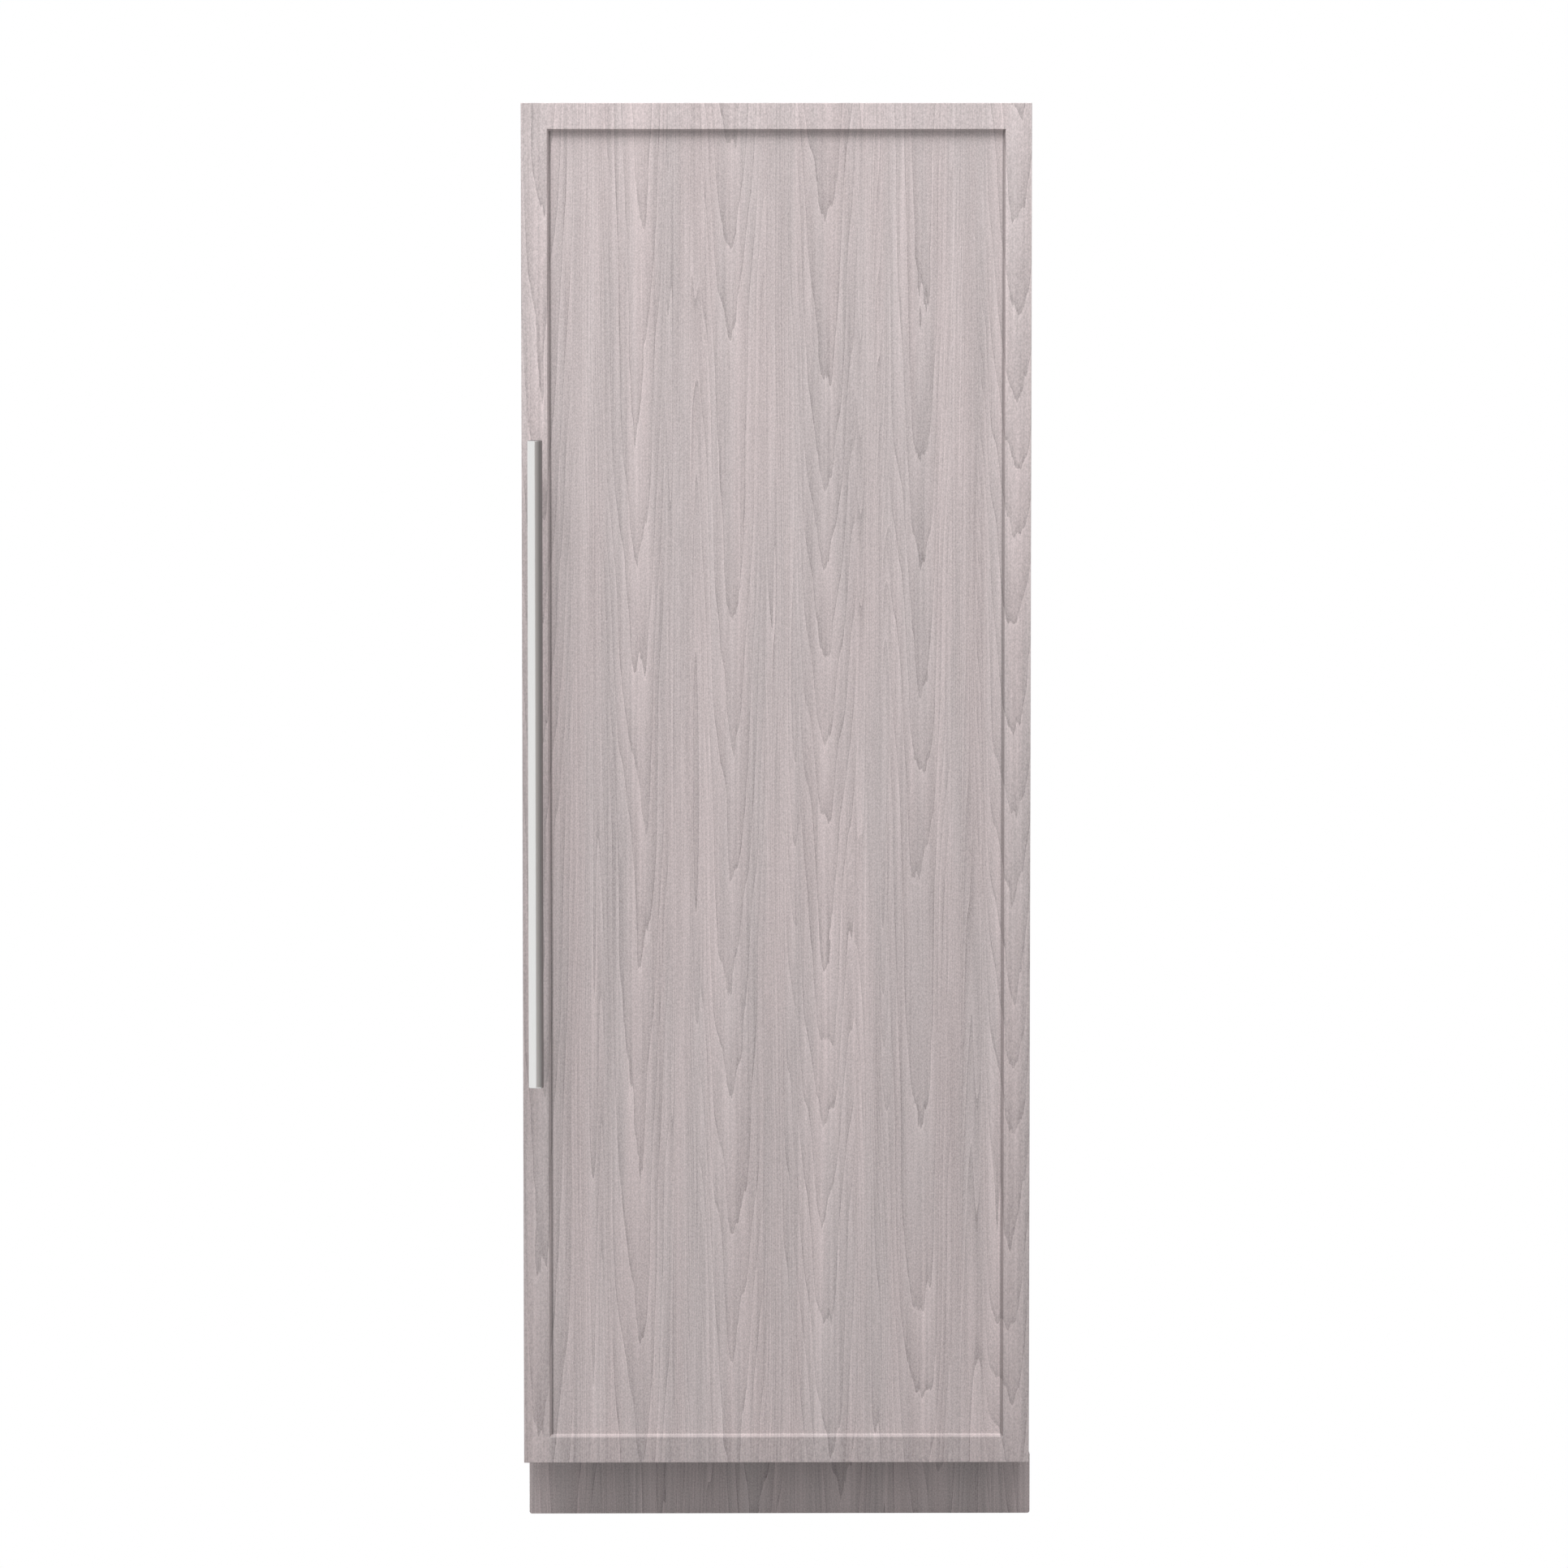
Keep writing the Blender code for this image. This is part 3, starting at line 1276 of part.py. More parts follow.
def make_handle(door):
    low = handle_middle - HANDLE_LENGTH / 2
    high = handle_middle + HANDLE_LENGTH / 2
    neck = HANDLE_RADIUS - HANDLE_CHAMFER
    profile = (
        (0, low), (neck, low), (HANDLE_RADIUS, low + HANDLE_CHAMFER),
        (HANDLE_RADIUS, high - HANDLE_CHAMFER), (neck, high), (0, high),
    )
    place = Matrix.Translation((handle_x, handle_y, 0))
    bar = piece_from(
        "handle_bar",
        add_turned(bmesh.new(), profile, place, 2 * ROUND_SIDES),
        door,
        (handle_x, handle_y, handle_middle),
    )
    shade_round(bar)
    paint(bar, STAINLESS, 0.25, 1.0)
    for level, z in (("lower", low + POST_FROM_END), ("upper", high - POST_FROM_END)):
        foot = (handle_x, panel_face - SEAT, z)
        post = piece_from(
            "handle_post_" + level, rods([(foot, (handle_x, handle_y, z), POST_RADIUS)]), door, foot
        )
        reach = POST_RADIUS + OVERRUN
        around = rods([(
            (handle_x, handle_y, z - reach), (handle_x, handle_y, z + reach),
            HANDLE_RADIUS + SEAT, 2 * ROUND_SIDES,
        )])
        cut(post, around, "saddle")
        shade_round(post)
        paint(post, STAINLESS, 0.3, 1.0)


def make_door_bins(door):
    back = door_inner + SEAT
    front = back + BIN_DEPTH
    bottoms = [cover_top + share * shelf_room for share in BIN_SHARES]
    rail_inner = BIN_HALF_WIDTH + RUN
    rail_low = bottoms[0] - BIN_RAIL_END
    rail_high = bottoms[-1] + BIN_HEIGHT + BIN_RAIL_END
    for side, sign in SIDES:
        near = sign * rail_inner
        far = sign * (rail_inner + BIN_RAIL_WIDTH)
        rail = block(
            "bin_rail_" + side,
            (min(near, far), back, rail_low),
            (max(near, far), back + BIN_RAIL_DEPTH, rail_high),
            door,
        )
        notches = []
        for low in bottoms:
            start = sign * (rail_inner - OVERRUN)
            end = sign * (BIN_HALF_WIDTH + BIN_LUG_REACH + RUN)
            notches.append((
                (min(start, end), back + BIN_RAIL_DEPTH - BIN_LUG_DEPTH - RUN, low + BIN_LUG_RISE - RUN),
                (max(start, end), back + BIN_RAIL_DEPTH + OVERRUN, low + BIN_LUG_RISE + BIN_LUG_HEIGHT + RUN),
            ))
        cut(rail, boxes(notches), "notches")
        paint(rail, WHITE_PLASTIC, 0.35)

    for name, low in zip(SHELF_NAMES, bottoms):
        tub = block(
            "door_bin_" + name,
            (-BIN_HALF_WIDTH, back, low),
            (BIN_HALF_WIDTH, front, low + BIN_HEIGHT),
            door,
        )
        lugs = []
        for _, sign in SIDES:
            start = sign * (BIN_HALF_WIDTH - SINK)
            end = sign * (BIN_HALF_WIDTH + BIN_LUG_REACH)
            lugs.append((
                (min(start, end), back + BIN_RAIL_DEPTH - BIN_LUG_DEPTH, low + BIN_LUG_RISE),
                (max(start, end), back + BIN_RAIL_DEPTH, low + BIN_LUG_RISE + BIN_LUG_HEIGHT),
            ))
        join(tub, boxes(lugs), "lugs")
        cut(
            tub,
            boxes([(
                (-BIN_HALF_WIDTH + BIN_WALL, back + BIN_WALL, low + BIN_WALL),
                (BIN_HALF_WIDTH - BIN_WALL, front - BIN_WALL, low + BIN_HEIGHT + OVERRUN),
            )]),
            "hollow",
        )
        paint(tub, CLEAR_PLASTIC, 0.15, alpha=0.6)


make_case()
make_base()
make_feet_and_rollers()
make_machine()
make_cold_side()
make_shelves()
make_drawers()
make_lights()
make_hinges()
door_body = make_door()
make_handle(door_body)
make_door_bins(door_body)
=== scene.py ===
# Column refrigerator: finishes, fine pieces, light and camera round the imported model.
import json
import math
from functools import partial

import bmesh
import bpy
from mathutils import Matrix, Vector


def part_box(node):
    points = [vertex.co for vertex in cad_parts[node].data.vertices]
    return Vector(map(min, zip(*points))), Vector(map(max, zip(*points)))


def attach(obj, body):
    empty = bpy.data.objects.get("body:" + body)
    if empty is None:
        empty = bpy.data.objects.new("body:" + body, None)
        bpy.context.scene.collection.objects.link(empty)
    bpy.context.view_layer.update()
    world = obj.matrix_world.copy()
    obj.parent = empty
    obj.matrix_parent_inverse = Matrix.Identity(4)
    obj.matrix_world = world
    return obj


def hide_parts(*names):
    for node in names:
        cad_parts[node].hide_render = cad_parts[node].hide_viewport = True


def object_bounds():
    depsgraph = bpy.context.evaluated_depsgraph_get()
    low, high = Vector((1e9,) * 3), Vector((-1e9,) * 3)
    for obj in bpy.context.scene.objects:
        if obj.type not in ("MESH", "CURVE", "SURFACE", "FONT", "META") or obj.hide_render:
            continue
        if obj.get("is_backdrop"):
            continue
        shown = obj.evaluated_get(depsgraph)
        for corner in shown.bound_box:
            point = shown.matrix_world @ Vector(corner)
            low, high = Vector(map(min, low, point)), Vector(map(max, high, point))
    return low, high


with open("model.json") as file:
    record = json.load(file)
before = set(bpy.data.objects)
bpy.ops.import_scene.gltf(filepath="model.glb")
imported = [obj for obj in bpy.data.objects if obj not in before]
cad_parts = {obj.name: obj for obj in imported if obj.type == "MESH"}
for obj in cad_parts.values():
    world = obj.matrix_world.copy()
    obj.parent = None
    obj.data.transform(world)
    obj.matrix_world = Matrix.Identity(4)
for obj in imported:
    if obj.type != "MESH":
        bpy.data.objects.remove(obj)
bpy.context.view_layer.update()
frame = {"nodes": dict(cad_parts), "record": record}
nodes = frame["nodes"]
print("loaded the packed model:", len(nodes), "nodes")

number, vector = "NodeSocketFloat", "NodeSocketVector"


# --- node helpers: values are numbers, colours or sockets

def newNode(tree, kind, **settings):
    node = tree.nodes.new("ShaderNode" + kind)
    for name, value in settings.items():
        setattr(node, name, value)
    return node


def plug(socket, value):
    if isinstance(value, bpy.types.NodeSocket):
        socket.id_data.links.new(value, socket)
    else:
        socket.default_value = value


def fill(node, *values, **named):
    for socket, value in zip(node.inputs, values):
        plug(socket, value)
    for title, value in named.items():
        plug(node.inputs[title], value)
    return node.outputs


def effect(kind, *values, settings={}, **named):
    # a filled node, in the node tree that its sockets belong to
    given = (value for value in (*values, *named.values()) if isinstance(value, bpy.types.NodeSocket))
    return fill(newNode(next(given).id_data, kind, **settings), *values, **named)


def calc(operation, *values, clamp=False):
    return effect("Math", *values, settings={"operation": operation, "use_clamp": clamp})[0]


add, sub, mul, mulAdd, absolute, larger, fraction = (partial(calc, operation) for operation in (
    "ADD", "SUBTRACT", "MULTIPLY", "MULTIPLY_ADD", "ABSOLUTE", "MAXIMUM", "FRACT"))


def vectorCalc(operation, first, second):
    return effect("VectorMath", first, second, settings={"operation": operation})[0]


def split(place):
    return list(effect("SeparateXYZ", place))


def noise(place, stretch=(1, 1, 1), detail=2.0, roughness=0.5):
    return effect("TexNoise", Vector=vectorCalc("MULTIPLY", place, stretch), Scale=1.0, Detail=detail,
                  Roughness=roughness)["Fac"]


def remap(value, low, high, newLow=0.0, newHigh=1.0, shape="SMOOTHSTEP"):
    return effect("MapRange", value, low, high, newLow, newHigh, settings={"interpolation_type": shape})["Result"]


def mix(factor, first, second, kind="FLOAT"):
    # where the inputs of a mix of numbers or of colours begin, and its result
    node = newNode(factor.id_data, "Mix", data_type=kind)
    start, result = (2, 0) if kind == "FLOAT" else (6, 2)
    for place, value in ((0, factor), (start, first), (start + 1, second)):
        plug(node.inputs[place], value)
    return node.outputs[result]


def shade(colour, tone):
    # a colour times one number that changes over the surface
    plain = colour[:3] if isinstance(colour, tuple) else colour
    return effect("VectorMath", plain, settings={"operation": "SCALE"}, Scale=tone)[0]


def objectPlace(tree):
    return newNode(tree, "TexCoord").outputs["Object"]


def looked(tree):
    # 1 for a ray from the camera, also by way of a mirror or a clear piece
    seen = newNode(tree, "LightPath").outputs
    return larger(seen["Is Camera Ray"], larger(seen["Is Glossy Ray"], seen["Is Transmission Ray"]))


def paint(*screen):
    # screen values 0 to 255 as a shader colour
    return tuple(v / 255 / 12.92 if v <= 10 else ((v / 255 + 0.055) / 1.055) ** 2.4 for v in screen) + (1.0,)


def makeGroup(name, inputs, outputs):
    group = bpy.data.node_groups.new(name, "ShaderNodeTree")
    for title, kind, value in inputs:
        socket = group.interface.new_socket(title, in_out="INPUT", socket_type=kind)
        if value is not None:
            socket.default_value = value
    for title in outputs:
        group.interface.new_socket(title, in_out="OUTPUT", socket_type=number)
    return group.nodes.new("NodeGroupInput").outputs, group.nodes.new("NodeGroupOutput").inputs


def placeGroup(group, **values):
    return effect("Group", settings={"node_tree": group}, **values)


def newMaterial(name, **plain):
    # plain: numbers and colours that are the same all over, straight on the shader
    material = bpy.data.materials.new(name)
    material.use_nodes = True
    shader = material.node_tree.nodes["Principled BSDF"].inputs
    for title, value in plain.items():
        shader[title.replace("_", " ")].default_value = value
    return material, shader, objectPlace(material.node_tree)


def dress(shader, colour, roughness, height, strength, distance):
    plug(shader["Base Color"], colour)
    plug(shader["Roughness"], roughness)
    plug(shader["Normal"], effect("Bump", Height=height, Strength=strength, Distance=distance)["Normal"])


def emptyMaterial(name):
    material = bpy.data.materials.new(name)
    material.use_nodes = True
    material.node_tree.nodes.clear()
    return material, material.node_tree


# --- shared effects

def makeWoodFigure():
    # upright columns of nested pointed arches with straight grain between them
    given, result = makeGroup(
        "woodFigure",
        [("Place", vector, None), ("Pitch", number, 0.1405), ("Centre", number, 0.0705),
         ("Rings Up", number, 6.2), ("Rings Across", number, 6.5), ("Scallop", number, 0.24)],
        ("Tone", "Line", "Glint", "Streak", "Height"))
    place = given["Place"]
    x, _, z = split(place)
    sway = mulAdd(noise(place, (2.5, 0, 1.3)), 0.026, -0.013)
    column = add(calc("DIVIDE", sub(add(x, sway), given["Centre"]), given["Pitch"]), 0.5)
    away = absolute(mulAdd(fraction(column), 2.0, -1.0))
    start = effect("TexWhiteNoise", W=calc("FLOOR", column), settings={"noise_dimensions": "1D"})["Value"]
    # rings of the arches
    climb = mul(z, mul(given["Rings Up"], mulAdd(start, 0.7, 0.65)))
    bunch = mul(mulAdd(noise(place, (34, 0, 0.7), 1.5), 6.0, -3.0), away)
    spread = mulAdd(calc("POWER", away, mulAdd(start, 0.6, 1.6)), given["Rings Across"], bunch)
    broad = mulAdd(noise(place, (10, 0, 1.5), 1.0), 3.4, -1.7)
    loose = mulAdd(noise(place, (36, 0, 2.4), 1.0), 0.8, -0.4)
    tips = mul(given["Scallop"], remap(away, 0.12, 0.42, 3.0, 0.3))
    fine = mul(sub(noise(place, (84, 0, 10)), 0.5), tips)
    field = sub(mulAdd(start, 7.0, climb), spread)
    for part in (broad, loose, fine):
        field = add(field, part)
    arch = fraction(field)
    # finer lines that follow the arches' legs
    follow = mulAdd(noise(place, (60, 0, 1.2), 1.0), 1.6, mul(field, 6.0))
    legs = mul(sub(fraction(follow), 0.5), remap(away, 0.10, 0.50, 0.12, 0.55))
    # straight grain between the arches
    lean = mul(noise(place, (21, 0, 0.5), 1.5), 30.0)
    straight = fraction(mulAdd(x, 200.0, lean))
    side = remap(away, 0.5, 0.8)
    saw = mix(side, arch, straight)
    plug(result["Tone"], add(sub(saw, 0.5), legs))
    heart = sub(1.0, side)
    patchy = remap(noise(place, (30, 0, 6)), 0.35, 0.62)

    def edge(first, last, other):
        arched = mul(remap(arch, first, last, 1.0, 0.0), heart)
        upright = mul(remap(straight, first, last, 1.0, 0.0), side)
        return mul(add(arched, upright), mulAdd(patchy, 1.0 - other, other))

    plug(result["Line"], edge(0.02, 0.16, 0.3))
    plug(result["Glint"], edge(0.99, 0.90, 0.3))
    thin = noise(place, (210, 0, 2.4), 1.0)
    hair = noise(place, (520, 0, 9.0), 1.0)
    streak = mulAdd(thin, 0.95, mulAdd(hair, 0.5, -1.225))
    plug(result["Streak"], add(noise(place, (26, 0, 0.7), 3.0), streak))
    plug(result["Height"], sub(saw, mul(thin, 0.3)))
    return place.id_data


def makeSpeckle():
    # even fine grain, as on moulded plastic, powder paint or open wood pores
    given, result = makeGroup(
        "speckle", [("Place", vector, None), ("Size", number, 0.002), ("Long", vector, (1, 1, 1))],
        ("Tone", "Height"))
    place = shade(vectorCalc("DIVIDE", given["Place"], given["Long"]), calc("DIVIDE", 1.0, given["Size"]))
    value = noise(place, (1, 1, 1), 3.0, 0.6)
    plug(result["Tone"], sub(value, 0.5))
    plug(result["Height"], value)
    return place.id_data


woodFigure, speckle = makeWoodFigure(), makeSpeckle()
print("built the shared effects")


# --- finishes

woodLook = {
    "pink": paint(191, 179, 179), "grey": paint(187, 177, 177),
    # painted light and shade below: the border's falloff from top to foot, shade in the field's corners and on its
    # right-hand slope, and a darker wood in reflections
    "borderHeights": (0.25, 1.85), "borderFalloffTones": (-0.14, 0.085), "reflectionDarkening": 0.6,
    "tones": {"Line": -0.13, "Glint": 0.07, "Streak": 0.41}, "archTone": 0.185, "speckTone": 0.98,
    "joint": (0.0004, 0.0026), "cornerShadeTone": 0.52, "rightCornerShadeTone": 0.80, "roofShadeTone": 0.86, "slopeShadeTone": 0.34,
    # how far in front of the field each band of painted light and shade begins and ends
    "border": (0.0035, 0.0055), "field": (0.002, 0.0008), "slope": (0.0087, 0.0077),
}


def makeWood(name, look, level):
    material, shader, place = newMaterial(name, Roughness=0.62, Specular_IOR_Level=0.28)
    x, y, z = split(place)
    behind = larger(add(y, fieldDepth), 0.0)
    turned = fill(newNode(place.id_data, "CombineXYZ"), mulAdd(behind, 0.8, x), 0.0, z)[0]
    figure = placeGroup(woodFigure, Place=turned)
    specks = placeGroup(speckle, Place=place, Size=0.0017, Long=(1, 1, 1.6))
    tone = mulAdd(figure["Tone"], look["archTone"], level)
    for part, share in look["tones"].items():
        tone = mulAdd(figure[part], share, tone)
    tone = mulAdd(specks["Tone"], look["speckTone"], tone)

    def band(part):
        return remap(y, -fieldDepth - look[part][0], -fieldDepth - look[part][1])

    # painted light and shade: the border is painted paler at the top and darker at the foot, as the light falls off
    # downwards
    paintedFalloff = remap(z, *look["borderHeights"], *look["borderFalloffTones"], "LINEAR")
    tone = mul(tone, mulAdd(band("border"), paintedFalloff, 1.0))
    # painted shade in the field's corners: a thin dark line where the field meets its slopes, darkest at the left,
    # fainter at the right and top, and none at the foot
    sideways = sub(x, fieldMiddle)
    rightward = remap(sideways, -0.01, 0.01)
    wall = sub(fieldEdge[0], absolute(sideways))
    roof = sub(fieldEdge[1], z)
    cornerShadeTone = mulAdd(rightward, look["rightCornerShadeTone"] - look["cornerShadeTone"], look["cornerShadeTone"])
    corner = calc("MINIMUM", remap(wall, *look["joint"], cornerShadeTone, 1.0),
                  remap(roof, *look["joint"], look["roofShadeTone"], 1.0))
    tone = mul(tone, mulAdd(band("field"), sub(corner, 1.0), 1.0))
    # painted shade on the right-hand slope, which is a little darker
    paintedSlopeShade = mul(mul(band("slope"), rightward), mul(remap(wall, -0.0042, -0.0036), remap(wall, 0.0006, 0.0)))
    tone = mul(tone, mulAdd(paintedSlopeShade, -look["slopeShadeTone"], 1.0))
    # painted reflection: the wood is darker where it is seen in a reflection, so the bar's polished side shows it only
    # dimly
    dim = newNode(place.id_data, "LightPath").outputs["Is Glossy Ray"]
    tone = mul(tone, mulAdd(dim, -look["reflectionDarkening"], 1.0))
    hue = remap(noise(turned, (22, 0, 1.6)), 0.35, 0.65)
    dress(shader, shade(mix(hue, look["pink"], look["grey"], "RGBA"), tone),
          remap(figure["Streak"], -0.3, 0.3, 0.56, 0.68), mulAdd(specks["Height"], 0.5, figure["Height"]), 0.5, 0.00022)
    return material


def makeBrushed(name, colour, roughness, grain):
    material, shader, place = newMaterial(name, Metallic=1.0)
    lines = placeGroup(speckle, Place=place, Size=0.0004, Long=grain)
    rough = mulAdd(lines["Tone"], 0.16, roughness)
    dress(shader, shade(colour, mulAdd(lines["Tone"], 0.10, 1.0)),
          mulAdd(noise(place, (30, 30, 6)), 0.05, rough), lines["Height"], 0.25, 0.00004)
    return material


def makeMoulded(name, colour, roughness, grain, relief, **plain):
    # plastic, rubber and powder paint: an even fine surface with faint clouds
    material, shader, place = newMaterial(name, **plain)
    specks = placeGroup(speckle, Place=place, Size=grain)
    cloud = noise(place, (7, 7, 7), 3.0)
    tone = mulAdd(specks["Tone"], 0.07, mulAdd(cloud, 0.05, 0.975))
    rough = mulAdd(cloud, 0.10, roughness - 0.05)
    dress(shader, shade(colour, tone), mulAdd(specks["Tone"], 0.10, rough), specks["Height"], 0.4, relief)
    return material


def makeCoatedSteel(name, colour, roughness, flake, contrast, metal):
    # zinc flakes: each one a little lighter or darker, duller or brighter
    material, shader, place = newMaterial(name, Metallic=metal)
    waver = shade(effect("TexNoise", Vector=place, Scale=160.0)["Color"], 0.004)
    flakes = effect("TexVoronoi", Vector=vectorCalc("ADD", place, waver), Scale=1 / flake,
                    settings={"feature": "F1"})
    luck, dullness, _ = split(flakes["Color"])
    tone = mulAdd(luck, contrast, 1.0 - contrast / 2)
    tone = mulAdd(noise(place, (2.5, 2.5, 2.5), 3.0), 0.08, sub(tone, 0.04))
    fine = placeGroup(speckle, Place=place, Size=0.0012)
    dress(shader, shade(colour, tone), mulAdd(dullness, contrast * 0.8, roughness), fine["Height"], 0.2, 0.00005)
    return material


def makeClear(name, face, edge, roughness, bend, through):
    # clear sheet: pale through its faces, deeper through its narrow edges, with faint smears
    material, shader, place = newMaterial(name, Transmission_Weight=through, IOR=bend)
    tall = absolute(split(newNode(place.id_data, "NewGeometry").outputs["True Normal"])[2])
    smear = noise(place, (14, 14, 5), 4.0, 0.6)
    colour = mix(remap(tall, 0.3, 0.8, 1.0, 0.0), face, edge, "RGBA")
    dress(shader, shade(colour, mulAdd(smear, 0.04, 0.98)),
          remap(smear, 0.4, 0.75, roughness, roughness + 0.05), noise(place, (60, 60, 60)), 0.05, 0.0002)
    return material


def makeFoam():
    material, shader, place = newMaterial("insulationFoam", Specular_IOR_Level=0.2)
    cells = effect("TexVoronoi", Vector=place, Scale=420.0, settings={"feature": "SMOOTH_F1"})["Distance"]
    tone = mulAdd(noise(place, (12, 12, 12), 4.0), 0.3, 0.8)
    dress(shader, shade(paint(226, 208, 150), tone), 0.9, cells, 0.6, 0.0008)
    return material


def makeLens():
    # a diffuser strip with a soft row of lamps behind it
    material, shader, place = newMaterial("lampLens", Roughness=0.35, Emission_Strength=1.0)
    row = absolute(sub(fraction(calc("DIVIDE", split(place)[2], 0.03)), 0.5))
    plug(shader["Emission Color"], shade(paint(250, 250, 248), remap(row, 0.0, 0.5, 1.0, 0.72)))
    specks = placeGroup(speckle, Place=place, Size=0.0015)
    plug(shader["Base Color"], shade(paint(240, 241, 243), mulAdd(specks["Tone"], 0.04, 1.0)))
    return material


recess = 0.009
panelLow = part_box("door_panel")[0]
fieldDepth = -(panelLow[1] + recess)
deepest = [v.co for v in nodes["door_panel"].data.vertices if abs(v.co.y + fieldDepth) < 1e-4]
fieldMiddle = (min(co.x for co in deepest) + max(co.x for co in deepest)) / 2
fieldEdge = (max(co.x for co in deepest) - fieldMiddle, max(co.z for co in deepest))
# one for each slot of the record, and four that single pieces wear instead
finishes = {
    "panel_wood": makeWood("panelWood", woodLook, 1.0),
    # the toe kick's copy of the panel wood, painted darker to stand for the shade under the door, with no painted
    # corner or slope shade
    "kick_wood": makeWood("kickWoodShaded", dict(woodLook, cornerShadeTone=1.0, rightCornerShadeTone=1.0, slopeShadeTone=0.0), 0.885),
    "stainless": makeBrushed("stainless", paint(228, 228, 227), 0.15, (1, 1, 60)),
    "trim_steel": makeBrushed("trimSteel", paint(214, 214, 213), 0.30, (60, 1, 1)),
    "copper": makeBrushed("copperPipe", paint(196, 128, 92), 0.34, (1, 1, 4)),
    "fin_aluminium": makeBrushed("finAluminium", paint(214, 216, 219), 0.38, (1, 1, 20)),
    "case_steel": makeCoatedSteel("caseSteel", paint(176, 178, 180), 0.46, 0.011, 0.14, 0.75),
    "zinc_steel": makeCoatedSteel("zincSteel", paint(196, 198, 200), 0.30, 0.004, 0.08, 1.0),
    "liner_white": makeMoulded("linerWhite", paint(232, 234, 236), 0.34, 0.0022, 0.00006),
    "grey_plastic": makeMoulded("greyPlastic", paint(142, 145, 148), 0.5, 0.0009, 0.00006),
    "dark_plastic": makeMoulded("darkPlastic", paint(44, 45, 47), 0.46, 0.0009, 0.00006),
    "seal_rubber": makeMoulded("sealRubber", paint(188, 190, 193), 0.62, 0.0014, 0.00008, Specular_IOR_Level=0.35),
    "black_paint": makeMoulded("blackPaint", paint(30, 30, 31), 0.24, 0.004, 0.0001, Coat_Weight=0.4),
    "gloss_black": makeMoulded("glossBlack", paint(18, 18, 20), 0.10, 0.01, 0.00002, Coat_Weight=0.6),
    "clear_plastic": makeClear("clearPlastic", paint(254, 254, 254), paint(252, 253, 253), 0.03, 1.45, 0.98),
    "clear_glass": makeClear("clearGlass", paint(243, 250, 247), paint(120, 186, 164), 0.01, 1.52, 1.0),
    "insulation": makeFoam(), "lamp_lens": makeLens(),
}
print("mixed the finishes")


# --- mesh helpers

def putIn(name, data):
    holder = bpy.data.objects.new(name, data)
    bpy.context.scene.collection.objects.link(holder)
    return holder


def toMesh(name, shape, material):
    mesh = bpy.data.meshes.new(name)
    shape.to_mesh(mesh)
    shape.free()
    mesh.materials.append(material)
    return putIn(name, mesh)


def newPiece(name, shape, body, slot, sharp, stands=(), finish=None):
    # sharp: edges that turn by more degrees than this stay sharp; finish: when it is not the slot's own
    bmesh.ops.recalc_face_normals(shape, faces=shape.faces)
    for face in shape.faces:
        face.smooth = True
    for edge in shape.edges:
        if len(edge.link_faces) == 2:
            edge.smooth = edge.calc_face_angle() < math.radians(sharp)
    piece = toMesh(name, shape, finishes[finish or slot])
    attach(piece, body)
    if stands:
        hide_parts(*stands)


def skin(shape, rows, loop=False):
    # joins rows of points, each row a closed ring, and caps the two ends
    made = [[shape.verts.new(point) for point in row] for row in rows]
    for first, second in zip(made, made[1:] + (made[:1] if loop else [])):
        for n in range(len(first)):
            m = (n + 1) % len(first)
            shape.faces.new((first[n], first[m], second[m], second[n]))
    if not loop:
        shape.faces.new(made[0])
        shape.faces.new(made[-1][::-1])


def sides(axis):
    axis = Vector(axis).normalized()
    first = Vector((0, 0, 1)) if abs(axis.z) < 0.9 else Vector((1, 0, 0))
    first = (first - axis * first.dot(axis)).normalized()
    return axis, first, axis.cross(first)


def ring(centre, axis, radius, steps, flats=0):
    # points on a circle, or on the flat sides of a nut
    axis, first, second = sides(axis)
    points = []
    for a in (math.tau * n / steps for n in range(steps)):
        reach = radius
        if flats:
            flat = math.tau / flats
            reach = radius * math.cos(flat / 2) / math.cos(a % flat - flat / 2)
        points.append(Vector(centre) + (first * math.cos(a) + second * math.sin(a)) * reach)
    return points


def turn(shape, foot, axis, profile, steps=48):
    # a turned form: profile is (distance along the axis, radius) from foot, with 6 added for a hexagon
    way = Vector(axis).normalized()
    skin(shape, [ring(Vector(foot) + way * reach, axis, radius, steps, *flats) for reach, radius, *flats in profile])


def block(shape, low, high, soft=0.0, steps=2):
    corners = bmesh.ops.create_cube(shape, size=1.0)["verts"]
    for corner in corners:
        corner.co = [(a + b) / 2 + c * (b - a) for c, a, b in zip(corner.co, low, high)]
    if soft:
        edges = list({edge for corner in corners for edge in corner.link_edges})
        bmesh.ops.bevel(shape, geom=edges, offset=soft, segments=steps, affect="EDGES", profile=0.5)


def frontOn(across, up, deep):
    return Vector((across, deep, up))


def fromTop(across, deep, up):
    return Vector((across, deep, up))


def fromSide(deep, up, across):
    return Vector((across, deep, up))


def raised(base, *points):
    return [(out, base + rise) for out, rise in points]


def surround(shape, section, low, high, radius, lay, steps=6):
    # sweeps a closed section (outward, rise) round a rectangle with rounded corners
    rows = []
    for turnStart, across, up in ((0, high[0], high[1]), (90, low[0], high[1]),
                                  (180, low[0], low[1]), (270, high[0], low[1])):
        across += radius if across == low[0] else -radius
        up += radius if up == low[1] else -radius
        for n in range(steps + 1):
            a = math.radians(turnStart + 90 * n / steps)
            rows.append([lay(across + math.cos(a) * (radius + out), up + math.sin(a) * (radius + out), rise)
                         for out, rise in section])
    skin(shape, rows, loop=True)


def draw(shape, section, lay, first, last):
    # draws a closed section (a, b) out from first to last
    skin(shape, [[lay(a, b, reach) for a, b in section] for reach in (first, last)])


